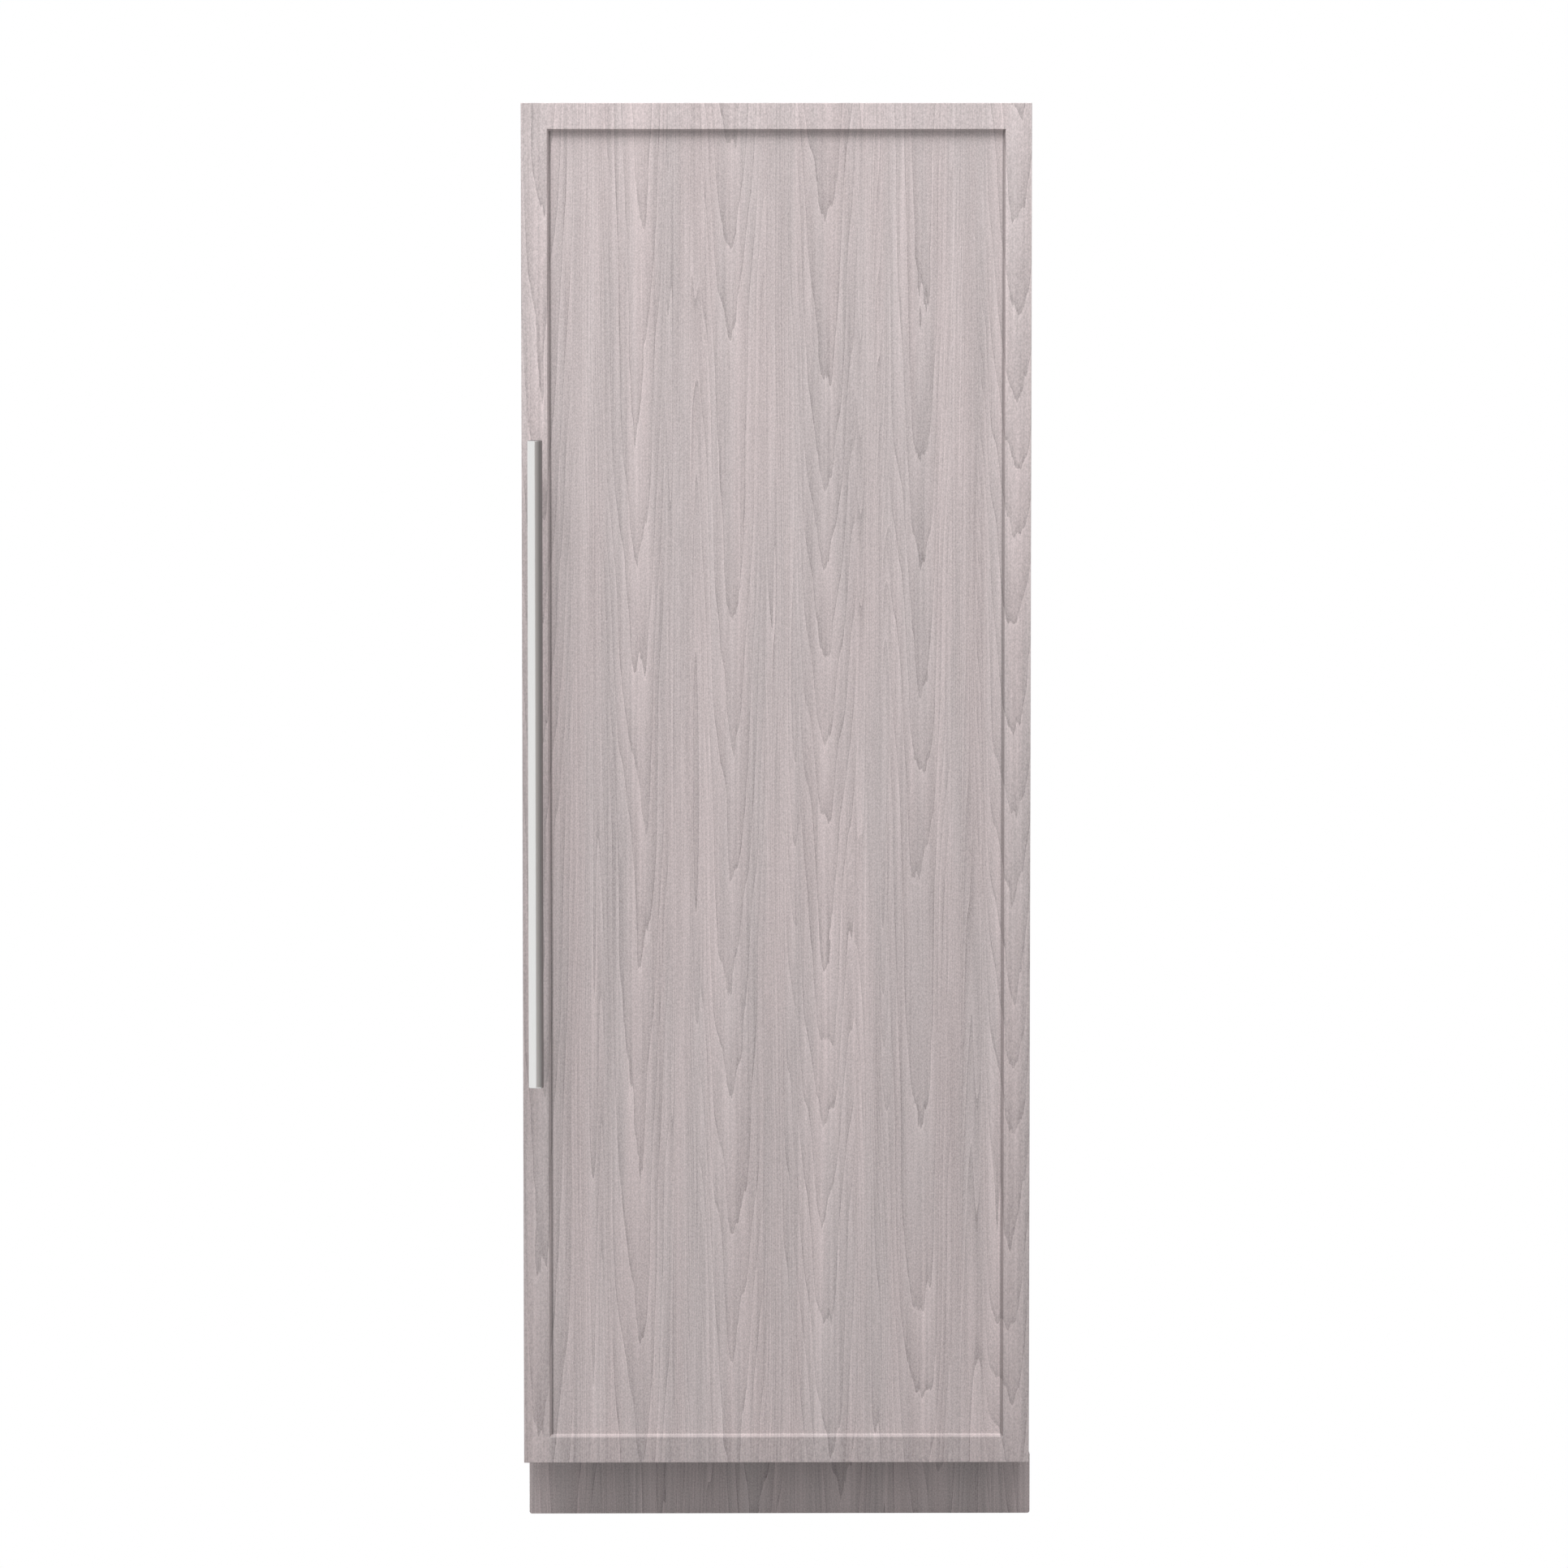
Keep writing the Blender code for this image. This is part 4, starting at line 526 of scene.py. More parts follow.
def trim(name, node, face, points, gap, body):
    # a steel rail along X; points: foot (0) or top (1) of the node, millimetres behind its face, millimetres up
    low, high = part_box(node)
    shape = bmesh.new()
    section = [((low, high)[face][1] + back / 1000, (low, high)[end][2] + up / 1000) for end, back, up in points]
    draw(shape, section, fromSide, low[0] + gap, high[0] - gap)
    newPiece(name, shape, body, "stainless", 30, finish="trim_steel")


def pipe(shape, points, radius, steps=12):
    points = [Vector(point) for point in points]
    for _ in range(3):
        rounded = [points[0]]
        for a, b in zip(points, points[1:]):
            rounded += [a.lerp(b, 0.25), a.lerp(b, 0.75)]
        points = rounded + [points[-1]]
    rows, side = [], None
    for n, point in enumerate(points):
        ahead = (points[min(n + 1, len(points) - 1)] - points[max(n - 1, 0)]).normalized()
        side = sides(ahead)[1] if side is None else (side - ahead * side.dot(ahead)).normalized()
        other = ahead.cross(side)
        rows.append([point + (side * math.cos(a) + other * math.sin(a)) * radius
                     for a in (math.tau * k / steps for k in range(steps))])
    skin(shape, rows)


def returnBend(shape, foot, out, rise, radius):
    # a half loop between two passes of a coil
    near, far = ([a + b * share for a, b in zip(foot, out)] for share in (-0.4, 1))
    pipe(shape, [near, far, (*far[:2], far[2] + rise), (*near[:2], near[2] + rise)], radius)


# heads as shares of the height and of the radius: a dome with a socket, a washer under a chamfered hexagon
screwHead = [(0, 1), (0.35, 1), (0.8, 0.84), (1, 0.6), (1, 0.48, 6), (0.3, 0.45, 6)]
boltHead = [(0, 1.35), (0.22, 1.35), (0.25, 1.28), (0.25, 1, 6), (0.88, 1, 6), (1, 0.8)]


def fasten(shape, spots, axis, radius, height, head=screwHead, steps=24):
    for spot in spots:
        turn(shape, spot, axis, [(reach * height, size * radius, *flats) for reach, size, *flats in head], steps)


def manyScrews(name, spots, axis, body, radius, height):
    shape = bmesh.new()
    fasten(shape, spots, axis, radius, height)
    newPiece(name, shape, body, "zinc_steel", 25)


# --- handle

handle = {"chamfer": 0.0007, "flange": 0.0102, "flangeDepth": 0.0025, "fillet": 0.0014, "steps": 96}
barLow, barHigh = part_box("handle_bar")
barRadius, barLength = (barHigh[0] - barLow[0]) / 2, barHigh[2] - barLow[2]
barX, barY = (barLow[0] + barHigh[0]) / 2, (barLow[1] + barHigh[1]) / 2
shape = bmesh.new()
c = handle["chamfer"]
tip = [(0, barRadius - c), (c * 0.3, barRadius - c * 0.3), (c, barRadius), (c * 2, barRadius)]
turn(shape, (barX, barY, barLow[2]), (0, 0, 1),
     tip + [(barLength - reach, radius) for reach, radius in tip[::-1]], handle["steps"])
newPiece("handle_bar_turned", shape, "door", "stainless", 25, ["handle_bar"])
for end in ("lower", "upper"):
    low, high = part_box(f"handle_post_{end}")
    radius, rise = (high[0] - low[0]) / 2, high[1] - panelLow[1]
    deep, fillet = handle["flangeDepth"], handle["fillet"]
    shape = bmesh.new()
    turn(shape, (barX, high[1], (low[2] + high[2]) / 2), (0, -1, 0),
         [(0, radius), (rise, radius), (rise, handle["flange"]), (rise + deep * 0.7, handle["flange"]),
          (rise + deep, radius + fillet), (rise + deep + fillet, radius), (high[1] - low[1], radius)], 64)
    newPiece(f"handle_post_{end}_turned", shape, "door", "stainless", 25, [f"handle_post_{end}"])
print("turned the handle")


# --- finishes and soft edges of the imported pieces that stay

softEdges = {  # millimetres
    0.3: "shelf_ladder", 0.4: "door_outer_skin case_side case_top roller_bracket",
    0.5: "base_pan hinge_bracket hinge_arm rear_roller",
    0.6: "door_panel machine_grille shelf_glass power_inlet condenser_fan_frame evaporator_fan_frame",
    0.7: "door_liner drawer_cover_glass", 0.8: "toe_kick_panel rear_duct_cover bin_rail shelf_frame compressor",
    0.9: "drawer_bin door_bin", 1.0: "led_column evaporation_tray", 1.2: "drawer_housing",
    1.5: "control_panel", 1.6: "drawer_front", 3.0: "inner_liner",
}
softWidths = {family: width / 1000 for width, families in softEdges.items() for family in families.split()}
places = ("_left", "_right", "_lower", "_middle", "_upper")


def softenEdges(piece, width):
    weld = piece.modifiers.new("joinCorners", "WELD")
    weld.merge_threshold = 1e-5
    rim = piece.modifiers.new("softEdge", "BEVEL")
    rim.width = width
    rim.segments = 2
    rim.limit_method = "ANGLE"
    rim.angle_limit = math.radians(40)
    rim.harden_normals = True


for row in frame["record"]["subparts"]:
    piece = nodes[row["node"]]
    for holder in piece.material_slots:
        holder.material = finishes[row["material_slot"]]
    family = row["node"].rsplit("_", 1)[0] if row["node"].endswith(places) else row["node"]
    if family in softWidths:
        softenEdges(piece, softWidths[family])
nodes["toe_kick_panel"].material_slots[0].material = finishes["kick_wood"]
print("finished the packed pieces")


# --- door: seal, inner skin, clips

low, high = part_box("door_gasket")
gasketCorner = 0.021
shape = bmesh.new()
section = [(-18, 0), (-2, 0), (0, 0.15), (-3.6, 0.3), (-0.4, 0.46), (-3.2, 0.62), (-2, 0.78), (-2, 0.96),
           (-3, 1), (-17, 1), (-18, 0.96), (-18, 0.78), (-16.8, 0.62), (-19.6, 0.46), (-16.4, 0.3), (-20, 0.15)]
surround(shape, [(out / 1000, low[1] + (high[1] - low[1]) * share) for out, share in section],
         (low[0], low[2]), (high[0], high[2]), gasketCorner, frontOn, 8)
newPiece("gasket_bellows", shape, "door", "seal_rubber", 50, ["door_gasket"])

innerDoor = {"ridge": 0.0022, "ridges": ((0.034, 0.005), (0.050, 0.0035)), "corner": 0.03,
             "flute": 0.0014, "flutes": 9, "pitch": 0.052, "sunk": -0.0004}
linerLow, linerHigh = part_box("door_liner")
face = linerHigh[1]
shape = bmesh.new()
for inset, size in innerDoor["ridges"]:
    tall = innerDoor["ridge"] * size / 0.005
    section = raised(face, (-size, innerDoor["sunk"]), (size, innerDoor["sunk"]), (size * 0.7, tall * 0.8),
                     (size * 0.3, tall), (-size * 0.3, tall), (-size * 0.7, tall * 0.8))
    surround(shape, section, (low[0] + inset, low[2] + inset), (high[0] - inset, high[2] - inset),
             innerDoor["corner"], frontOn, 8)
newPiece("door_liner_ridges", shape, "door", "liner_white", 40)
shape = bmesh.new()
railLow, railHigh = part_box("bin_rail_left")
for n in range(innerDoor["flutes"]):
    x = (n - (innerDoor["flutes"] - 1) / 2) * innerDoor["pitch"] + (linerLow[0] + linerHigh[0]) / 2
    section = [(x + out, face + rise) for out, rise in ((-0.006, innerDoor["sunk"]), (0.006, innerDoor["sunk"]),
                                                        (0.003, innerDoor["flute"]), (-0.003, innerDoor["flute"]))]
    draw(shape, section, fromTop, railLow[2], railHigh[2])
newPiece("door_liner_flutes", shape, "door", "liner_white", 40)

clip = {"thick": 0.0011, "half": 0.031, "heights": (0.24, 0.70, 1.16, 1.62, 2.00),
        "screws": ((-0.018, -0.006), (0.018, -0.006), (0, 0.008))}
low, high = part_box("door_outer_skin")
for side, wall, way in (("left", low[0], -1), ("right", high[0], 1)):
    shape = bmesh.new()
    spots = []
    outer = wall + way * clip["thick"]
    a, b = sorted((wall, outer))
    for z in clip["heights"]:
        block(shape, (a, low[1] + 0.002, z - clip["half"]), (b, high[1] - 0.006, z + clip["half"]), 0.0003, 1)
        spots += [(outer, (low[1] + high[1]) / 2 + lean, z + lift) for lift, lean in clip["screws"]]
    newPiece(f"panel_clips_{side}", shape, "door", "zinc_steel", 30)
    manyScrews(f"panel_clip_screws_{side}", spots, (way, 0, 0), "door", 0.0036, 0.0008)
print("made the seal and the inner door")


# --- door bins and their rails

for place in ("lower", "middle", "upper"):
    node = f"door_bin_{place}"
    trim(f"door_bin_trim_{place}", node, 1,
         [(1, -4.2, -0.1), (1, -3.4, 1.1), (1, 0.1, 1.1), (1, 1.1, 0.1), (1, 1.1, -11.9), (1, 0.5, -12.9),
          (1, 0.1, -12.9), (1, 0.1, 0.2), (1, -3.6, 0.2)], 0.001, "door")
    low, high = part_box(node)
    shape = bmesh.new()
    for n in range(1, 12):
        x = low[0] + (high[0] - low[0]) * n / 12
        block(shape, (x - 0.0012, low[1] + 0.006, low[2] + 0.0034), (x + 0.0012, high[1] - 0.006, low[2] + 0.0046),
              0.0005, 1)
    newPiece(f"door_bin_ribs_{place}", shape, "door", "clear_plastic", 30)


def railScrews(name, node, face, way, shares, body, radius):
    # screws up the middle of an upright rail
    low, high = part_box(node)
    spots = [((low[0] + high[0]) / 2, (low, high)[face][1], low[2] + (high[2] - low[2]) * share) for share in shares]
    manyScrews(name, spots, (0, way, 0), body, radius, 0.0012)


for side in ("left", "right"):
    railScrews(f"bin_rail_screws_{side}", f"bin_rail_{side}", 1, 1, (0.02, 0.34, 0.66, 0.98), "door", 0.0032)
print("trimmed the door bins")


# --- shelves, cover glass and ladders

for place in ("lower", "middle", "upper"):
    trim(f"shelf_trim_{place}", f"shelf_frame_{place}", 0,
         [(1, -0.1, 0.1), (0, -0.1, -0.1), (0, 4, -0.1), (0, 4, -0.4), (0, -0.6, -0.4), (0, -1.6, 0.6), (1, -1.6, -0.4),
          (1, -1.1, 0.7), (1, 0, 1.2), (1, 9, 1.2), (1, 10, 0.1)], 0.0006, "cabinet")
    low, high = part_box(f"shelf_glass_{place}")
    shape = bmesh.new()
    surround(shape, raised(high[2], (0.0002, -0.002), (0.0016, -0.002), (0.0016, 0.0006), (-0.001, 0.0008),
                           (-0.001, 0.0001), (0.0002, 0.0001)),
             (low[0], low[1]), (high[0], high[1]), 0.004, fromTop, 4)
    newPiece(f"shelf_glass_seal_{place}", shape, "cabinet", "seal_rubber", 40)
trim("cover_glass_trim", "drawer_cover_glass", 0,
     [(1, -0.1, 0.1), (0, -0.1, -0.1), (0, 6, -0.1), (0, 6, -1), (0, -1.4, -1), (0, -2.2, 0), (1, -2.2, 0),
      (1, -1.4, 1), (1, 8, 1), (1, 8, 0.1)], 0.001, "cabinet")
for side in ("left", "right"):
    railScrews(f"ladder_screws_{side}", f"shelf_ladder_{side}", 0, -1, (0.008, 0.5, 0.992), "cabinet", 0.0034)
print("trimmed the shelves")


# --- drawers: grip rails, humidity slides and floor ribs

slide = {"below": 0.045, "half": (0.055, 0.010), "at": {"lower": -0.024, "upper": 0.018}}
for place in ("lower", "upper"):
    body = f"drawer_{place}"
    low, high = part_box(f"drawer_front_{place}")
    face, middle, z = low[1], (low[0] + high[0]) / 2, high[2] - slide["below"]
    trim(f"drawer_grip_{place}", f"drawer_front_{place}", 0,
         [(1, 12, 0.1), (1, -0.1, 0.1), (1, -0.1, -6), (1, -1.6, -6), (1, -1.6, -1.6), (1, -9.4, -1.6), (1, -9.4, -17),
          (1, -10.2, -17.6), (1, -11, -17), (1, -11, -1), (1, -10, 1.2), (1, 11, 1.2)], 0.0005, body)
    shape = bmesh.new()
    wide, tall = slide["half"]
    surround(shape, raised(face, (0, 0.0003), (0, -0.0006), (-0.0012, -0.0010), (-0.0022, -0.0006), (-0.0022, 0.0003)),
             (middle - wide, z - tall), (middle + wide, z + tall), 0.008, frontOn, 8)
    block(shape, (middle - 0.050, face - 0.0003, z - 0.0025), (middle + 0.050, face + 0.0002, z + 0.0025), 0.0002, 1)
    newPiece(f"humidity_slot_{place}", shape, body, "grey_plastic", 40)
    shape = bmesh.new()
    x = middle + slide["at"][place]
    block(shape, (x - 0.011, face - 0.0040, z - 0.0055), (x + 0.011, face - 0.0004, z + 0.0055), 0.0014, 3)
    for ribX in (x + (n - 2) * 0.003 for n in range(5)):
        block(shape, (ribX - 0.0005, face - 0.0046, z - 0.0042), (ribX + 0.0005, face - 0.0038, z + 0.0042), 0.0002, 1)
    newPiece(f"humidity_slide_{place}", shape, body, "dark_plastic", 40)
    shape = bmesh.new()
    binLow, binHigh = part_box(f"drawer_bin_{place}")
    foot = binLow[2]
    for n in range(13):
        y = binLow[1] + 0.03 + (binHigh[1] - binLow[1] - 0.06) * n / 12
        block(shape, (low[0] + 0.012, y - 0.0013, foot + 0.0034), (high[0] - 0.012, y + 0.0013, foot + 0.0048),
              0.0005, 1)
    newPiece(f"drawer_floor_ribs_{place}", shape, body, "clear_plastic", 30)
print("fitted the drawers")


# --- lights and the control panel

for side, way in (("left", 1), ("right", -1)):
    low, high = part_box(f"led_column_{side}")
    inner = high[0] if way > 0 else low[0]
    shape = bmesh.new()
    half = ((-0.0008, 0.004), (0.0005, 0.005), (0.0014, 0.009))
    section = [(inner + way * out, low[1] + gap) for out, gap in half]
    section += [(inner + way * out, high[1] - gap) for out, gap in half[::-1]]
    draw(shape, section, fromTop, low[2] + 0.012, high[2] - 0.012)
    newPiece(f"led_lens_{side}", shape, "cabinet", "lamp_lens", 40)

control = {"keys": 6, "pitch": 0.036, "digitGap": 0.018, "keyHalf": 0.0030, "markFront": 0.00112, "markBack": 0.00088}
low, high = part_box("control_panel")
face, middle, level = low[1], (low[0] + high[0]) / 2, (low[2] + high[2]) / 2
shape = bmesh.new()
surround(shape, raised(face, (0, 0.0002), (0, -0.0007), (-0.0012, -0.0012), (-0.0040, -0.0012), (-0.0042, 0.0002)),
         (low[0] + 0.004, low[2] + 0.0015), (high[0] - 0.004, high[2] - 0.0015), 0.004, frontOn, 6)
newPiece("control_bezel", shape, "cabinet", "stainless", 40, finish="trim_steel")
shape = bmesh.new()
block(shape, (low[0] + 0.0082, face - 0.0009, low[2] + 0.0057), (high[0] - 0.0082, face + 0.0002, high[2] - 0.0057),
      0.0003, 2)
newPiece("control_window", shape, "cabinet", "dark_plastic", 40, finish="gloss_black")
segments = {"a": (0, 1, 1), "b": (1, 0.5, 0), "c": (1, -0.5, 0), "d": (0, -1, 1), "e": (-1, -0.5, 0),
            "f": (-1, 0.5, 0), "g": (0, 0, 1)}


def mark(shape, x, z, wide, tall):
    # a lit bar just proud of the window
    block(shape, (x - wide, face - control["markFront"], z - tall), (x + wide, face - control["markBack"], z + tall))


def drawDigit(shape, x, z, lit, size=0.0024):
    # one seven-bar numeral seen from the front
    for bar in lit:
        across, up, flat = segments[bar]
        wide, tall = (size * 0.72, size * 0.16) if flat else (size * 0.16, size * 0.78)
        mark(shape, x + across * size, z + up * size * 1.9, wide, tall)


shape = bmesh.new()
drawDigit(shape, middle - 0.0045, level, "abged")
drawDigit(shape, middle + 0.0035, level, "afgcd")
front, rear, half = -control["markFront"], -control["markBack"], control["keyHalf"]
for n in range(control["keys"]):
    x = middle + (n - 2.5) * control["pitch"] + (control["digitGap"] if n > 2 else -control["digitGap"])
    surround(shape, raised(face, (0, rear), (0, front), (-0.0004, front), (-0.0004, rear)),
             (x - half, level - half), (x + half, level + half), half * 0.95, frontOn, 6)
    mark(shape, x, level, 0.0014, 0.0002)
    if n % 2:
        mark(shape, x, level, 0.0002, 0.0014)
newPiece("control_marks", shape, "cabinet", "lamp_lens", 40)
print("lit the inside")


# --- air duct, fans and evaporator

low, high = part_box("rear_duct_cover")
manyScrews("duct_screws", [(x, low[1], z) for x in (low[0] + 0.012, high[0] - 0.012)
                           for z in (low[2] + 0.02, low[2] + (high[2] - low[2]) * 0.5, high[2] - 0.02)],
           (0, -1, 0), "cabinet", 0.0045, 0.0014)


def makeFan(node, axis, slot, blades=7, steps=8):
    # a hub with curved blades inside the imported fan's own space
    low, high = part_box(node)
    way = 0 if abs(axis[0]) else 1
    centre = (low + high) / 2
    reach, depth = (high[2] - low[2]) / 2 * 0.985, (high[way] - low[way]) * 0.94
    hub = reach * 0.34
    shape = bmesh.new()
    turn(shape, centre - Vector(axis) * depth / 2, axis,
         [(0, hub * 0.9), (depth * 0.06, hub), (depth * 0.8, hub), (depth * 0.95, hub * 0.85), (depth, hub * 0.4)])
    unit, first, second = sides(axis)
    for blade in range(blades):
        rows = []
        for share in (n / steps for n in range(steps + 1)):
            radius = hub * 0.92 + (reach - hub * 0.92) * share
            sweep = math.tau * blade / blades + 0.28 * share * share
            wide = 0.36 + 0.10 * math.sin(math.pi * share) - 0.05 * share
            thick = 0.0006 + 0.0008 * (1 - share)
            upper, lower = [], []
            for t in (k / steps - 0.5 for k in range(steps + 1)):
                angle = sweep + t * wide * 2
                point = centre + (first * math.cos(angle) + second * math.sin(angle)) * radius
                rise = -t * depth * 0.82 * (1 - 0.25 * share) + 0.10 * depth * (1 - 4 * t * t)
                swell = thick * (1 - (2 * t) ** 2) + 0.0002
                upper.append(point + unit * (rise * 0.9 + swell))
                lower.append(point + unit * (rise * 0.9 - swell))
            rows.append(upper + lower[::-1])
        skin(shape, rows)
    newPiece(f"{node}_bladed", shape, node, slot, 40, [node])


makeFan("condenser_fan", (-1, 0, 0), "dark_plastic")
makeFan("evaporator_fan", (0, -1, 0), "grey_plastic")
low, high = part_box("evaporator")
shape = bmesh.new()
passes = 8
pitch = (high[2] - low[2]) / passes
for n in range(passes - 1):
    x, out = (high[0], 0.014) if n % 2 else (low[0], -0.014)
    returnBend(shape, (x, (low[1] + high[1]) / 2, low[2] + pitch * (n + 0.5)), (out, 0, 0), pitch, 0.0038)
newPiece("evaporator_bends", shape, "cabinet", "fin_aluminium", 40)
print("bladed the fans")


# --- machine compartment

low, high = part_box("compressor")
x, y, pipeTop = (low[0] + high[0]) / 2, (low[1] + high[1]) / 2, high[2] + 0.012
shellRadius, seam = (high[1] - low[1]) / 2, low[2] + (high[2] - low[2]) * 0.52
shape = bmesh.new()
turn(shape, (x, y, seam - 0.003), (0, 0, 1),
     [(0, shellRadius - 0.001), (0.0006, shellRadius + 0.0016), (0.0054, shellRadius + 0.0016),
      (0.006, shellRadius - 0.001)], 96)
newPiece("compressor_seam", shape, "cabinet", "black_paint", 40)
shape = bmesh.new()
coverX = x + shellRadius
block(shape, (coverX - 0.006, y - 0.026, seam - 0.030), (coverX + 0.018, y + 0.026, seam + 0.022), 0.004, 3)
for z in (seam - 0.020 + n * 0.009 for n in range(4)):
    block(shape, (coverX + 0.0175, y - 0.016, z), (coverX + 0.019, y + 0.016, z + 0.003), 0.0006, 1)
newPiece("compressor_terminal_cover", shape, "cabinet", "dark_plastic", 40)
shape = bmesh.new()
condLow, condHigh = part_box("condenser")
inX, inY, inZ = condLow[0] + 0.02, condLow[1] - 0.016, condHigh[2] - 0.02
pipe(shape, [(x + 0.03, y - 0.055, seam + 0.01), (x + 0.03, y - 0.098, seam + 0.01), (x + 0.03, y - 0.098, pipeTop),
             (0.02, y - 0.098, pipeTop), (condLow[0] - 0.012, inY, pipeTop), (inX, inY, inZ),
             (inX, condLow[1] + 0.01, inZ)], 0.0032)
pipe(shape, [(x - 0.03, y + 0.05, seam + 0.02), (x - 0.03, y + 0.090, seam + 0.02),
             (x - 0.03, y + 0.100, seam + 0.06), (x - 0.03, y + 0.100, 0.289)], 0.0040)
newPiece("refrigerant_pipes", shape, "cabinet", "zinc_steel", 40, finish="copper")
shape = bmesh.new()
step = (condHigh[2] - condLow[2]) / 6
for column in (0.3, 0.7):
    for n in range(5):
        y, out = (condHigh[1], 0.012) if n % 2 else (condLow[1], -0.012)
        returnBend(shape, (condLow[0] + (condHigh[0] - condLow[0]) * column, y, condLow[2] + step * (n + 0.5)),
                   (0, out, 0), step, 0.0034)
newPiece("condenser_bends", shape, "cabinet", "zinc_steel", 40, finish="copper")
low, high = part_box("power_inlet")
middle = (low + high) / 2
shape = bmesh.new()
for x, z in ((-0.007, -0.003), (0.007, -0.003), (0, 0.004)):
    x, z = middle[0] + x, middle[2] + z
    block(shape, (x - 0.001, high[1] - 0.014, z - 0.002), (x + 0.001, high[1] - 0.002, z + 0.002), 0.0004, 1)
newPiece("power_inlet_pins", shape, "cabinet", "zinc_steel", 40)
print("fitted the machine compartment")


# --- outside of the case

low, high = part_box("case_top")
lid = {"rise": 0.0035, "ribs": (-0.24, -0.08, 0.08, 0.21), "half": 0.022, "screws": (-0.34, -0.2, 0.0, 0.2)}
shape = bmesh.new()
for x in lid["ribs"]:
    surround(shape, raised(high[2], (0, -0.0004), (0, 0.0002), (-0.005, lid["rise"]), (-0.011, lid["rise"]),
                           (-0.0112, -0.0004)),
             (x - lid["half"], low[1] + 0.10), (x + lid["half"], high[1] - 0.05), 0.0216, fromTop, 8)
newPiece("case_top_ribs", shape, "cabinet", "case_steel", 30)
# none where the hinge stands
spots = [(x, y, high[2]) for y in (low[1] + 0.02, high[1] - 0.015) for x in lid["screws"] if not (y < 0 and x > 0.15)]
manyScrews("case_top_screws", spots, (0, 0, 1), "cabinet", 0.0045, 0.0016)
for side, face, way in (("left", 0, -1), ("right", 1, 1)):
    low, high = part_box(f"case_side_{side}")
    spots = [((low, high)[face][0], y, z) for y in (low[1] + 0.014, high[1] - 0.014)
             for z in (0.16, 0.55, 0.94, 1.33, 1.72, 2.08)]
    manyScrews(f"case_side_screws_{side}", spots, (way, 0, 0), "cabinet", 0.0042, 0.0014)
print("screwed the case together")


# --- back: a pressed sheet with louvres, and plugs in the foam holes

def pierced(shape, low, high, holes):
    # a sheet across X and Z with square holes, each hole (left, right, foot, top)
    across = sorted({low[0], high[0]} | {v for hole in holes for v in hole[:2]})
    up = sorted({low[2], high[2]} | {v for hole in holes for v in hole[2:]})

    def solid(i, k):
        if not (0 <= i < len(across) - 1 and 0 <= k < len(up) - 1):
            return False
        x, z = (across[i] + across[i + 1]) / 2, (up[k] + up[k + 1]) / 2
        return not any(a < x < b and c < z < d for a, b, c, d in holes)

    made = {}

    def corner(i, k, y):
        if (i, k, y) not in made:
            made[i, k, y] = shape.verts.new((across[i], y, up[k]))
        return made[i, k, y]

    for i in range(len(across) - 1):
        for k in range(len(up) - 1):
            if not solid(i, k):
                continue
            square = [(i, k), (i + 1, k), (i + 1, k + 1), (i, k + 1)]
            for y in (low[1], high[1]):
                shape.faces.new([corner(*spot, y) for spot in square])
            around = ((i, k - 1), (i + 1, k), (i, k + 1), (i - 1, k))
            for a, b, beside in zip(square, square[1:] + square[:1], around):
                if not solid(*beside):
                    shape.faces.new([corner(*a, low[1]), corner(*b, low[1]), corner(*b, high[1]), corner(*a, high[1])])


back = {"thick": 0.0003, "rise": 0.0008, "sunk": 0.0001, "seam": 0.289, "lip": 0.011, "screw": 0.0036, "plug": 0.015,
        "screws": (0.14, 0.215, 0.5, 0.82, 1.14, 1.46, 1.78, 2.09), "plugs": (1.95, 1.2, 0.45)}


def bead(shape, left, right, foot, top, width=0.012):
    # a raised line with sloping sides round a rounded field
    surround(shape, raised(face, (0, -back["sunk"]), (-width * 0.2, back["rise"]), (-width * 0.8, back["rise"]),
                           (-width, -back["sunk"])),
             (left, foot), (right, top), min(0.03, (right - left) / 2 - 0.0001), frontOn, 8)


def strip(shape, left, right, foot, top, rise, soft=0.0003):
    block(shape, (left, face - back["sunk"], foot), (right, face + rise, top), soft, 1)


low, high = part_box("back_panel")
cut = nodes["back_panel"].data.vertices
edgesX = sorted({round(v.co.x, 5) for v in cut})
inletX = edgesX[-3:-1]
slotsX = [edgesX[n:n + 2] for n in range(1, len(edgesX) - 3, 2)]
edgesZ = sorted({round(v.co.z, 5) for v in cut if abs(v.co.x - slotsX[0][0]) < 1e-4})
slotsZ = [edgesZ[n:n + 2] for n in range(0, len(edgesZ), 2)]
inletZ = sorted({round(v.co.z, 5) for v in cut if abs(v.co.x - inletX[0]) < 1e-4})
holes = [(*x, *z) for x in slotsX for z in slotsZ] + [(*inletX, inletZ[0], inletZ[-1])]
face, middle, lip = low[1] + back["thick"], (low[0] + high[0]) / 2, back["lip"]
shape = bmesh.new()
pierced(shape, (low[0], low[1], low[2]), (high[0], face, high[2]), holes)
for left, right in ((low[0] + 0.045, middle - 0.03), (middle + 0.03, high[0] - 0.045)):
    for foot, top in ((0.36, 1.17), (1.23, 2.04)):
        bead(shape, left, right, foot, top)
        bead(shape, left + 0.03, right - 0.03, foot + 0.03, top - 0.03, 0.006)
for x in (low[0], high[0] - lip):
    strip(shape, x, x + lip, low[2], high[2], back["rise"] * 0.7)
strip(shape, low[0] + lip, high[0] - lip, high[2] - lip, high[2], back["rise"] * 0.7)
strip(shape, low[0] + lip, high[0] - lip, back["seam"] - 0.006, back["seam"] + 0.004, back["rise"])
for left, right in slotsX:
    for _, top in slotsZ:
        strip(shape, left - 0.001, right + 0.001, top, top + 0.0028, back["rise"], 0.0004)
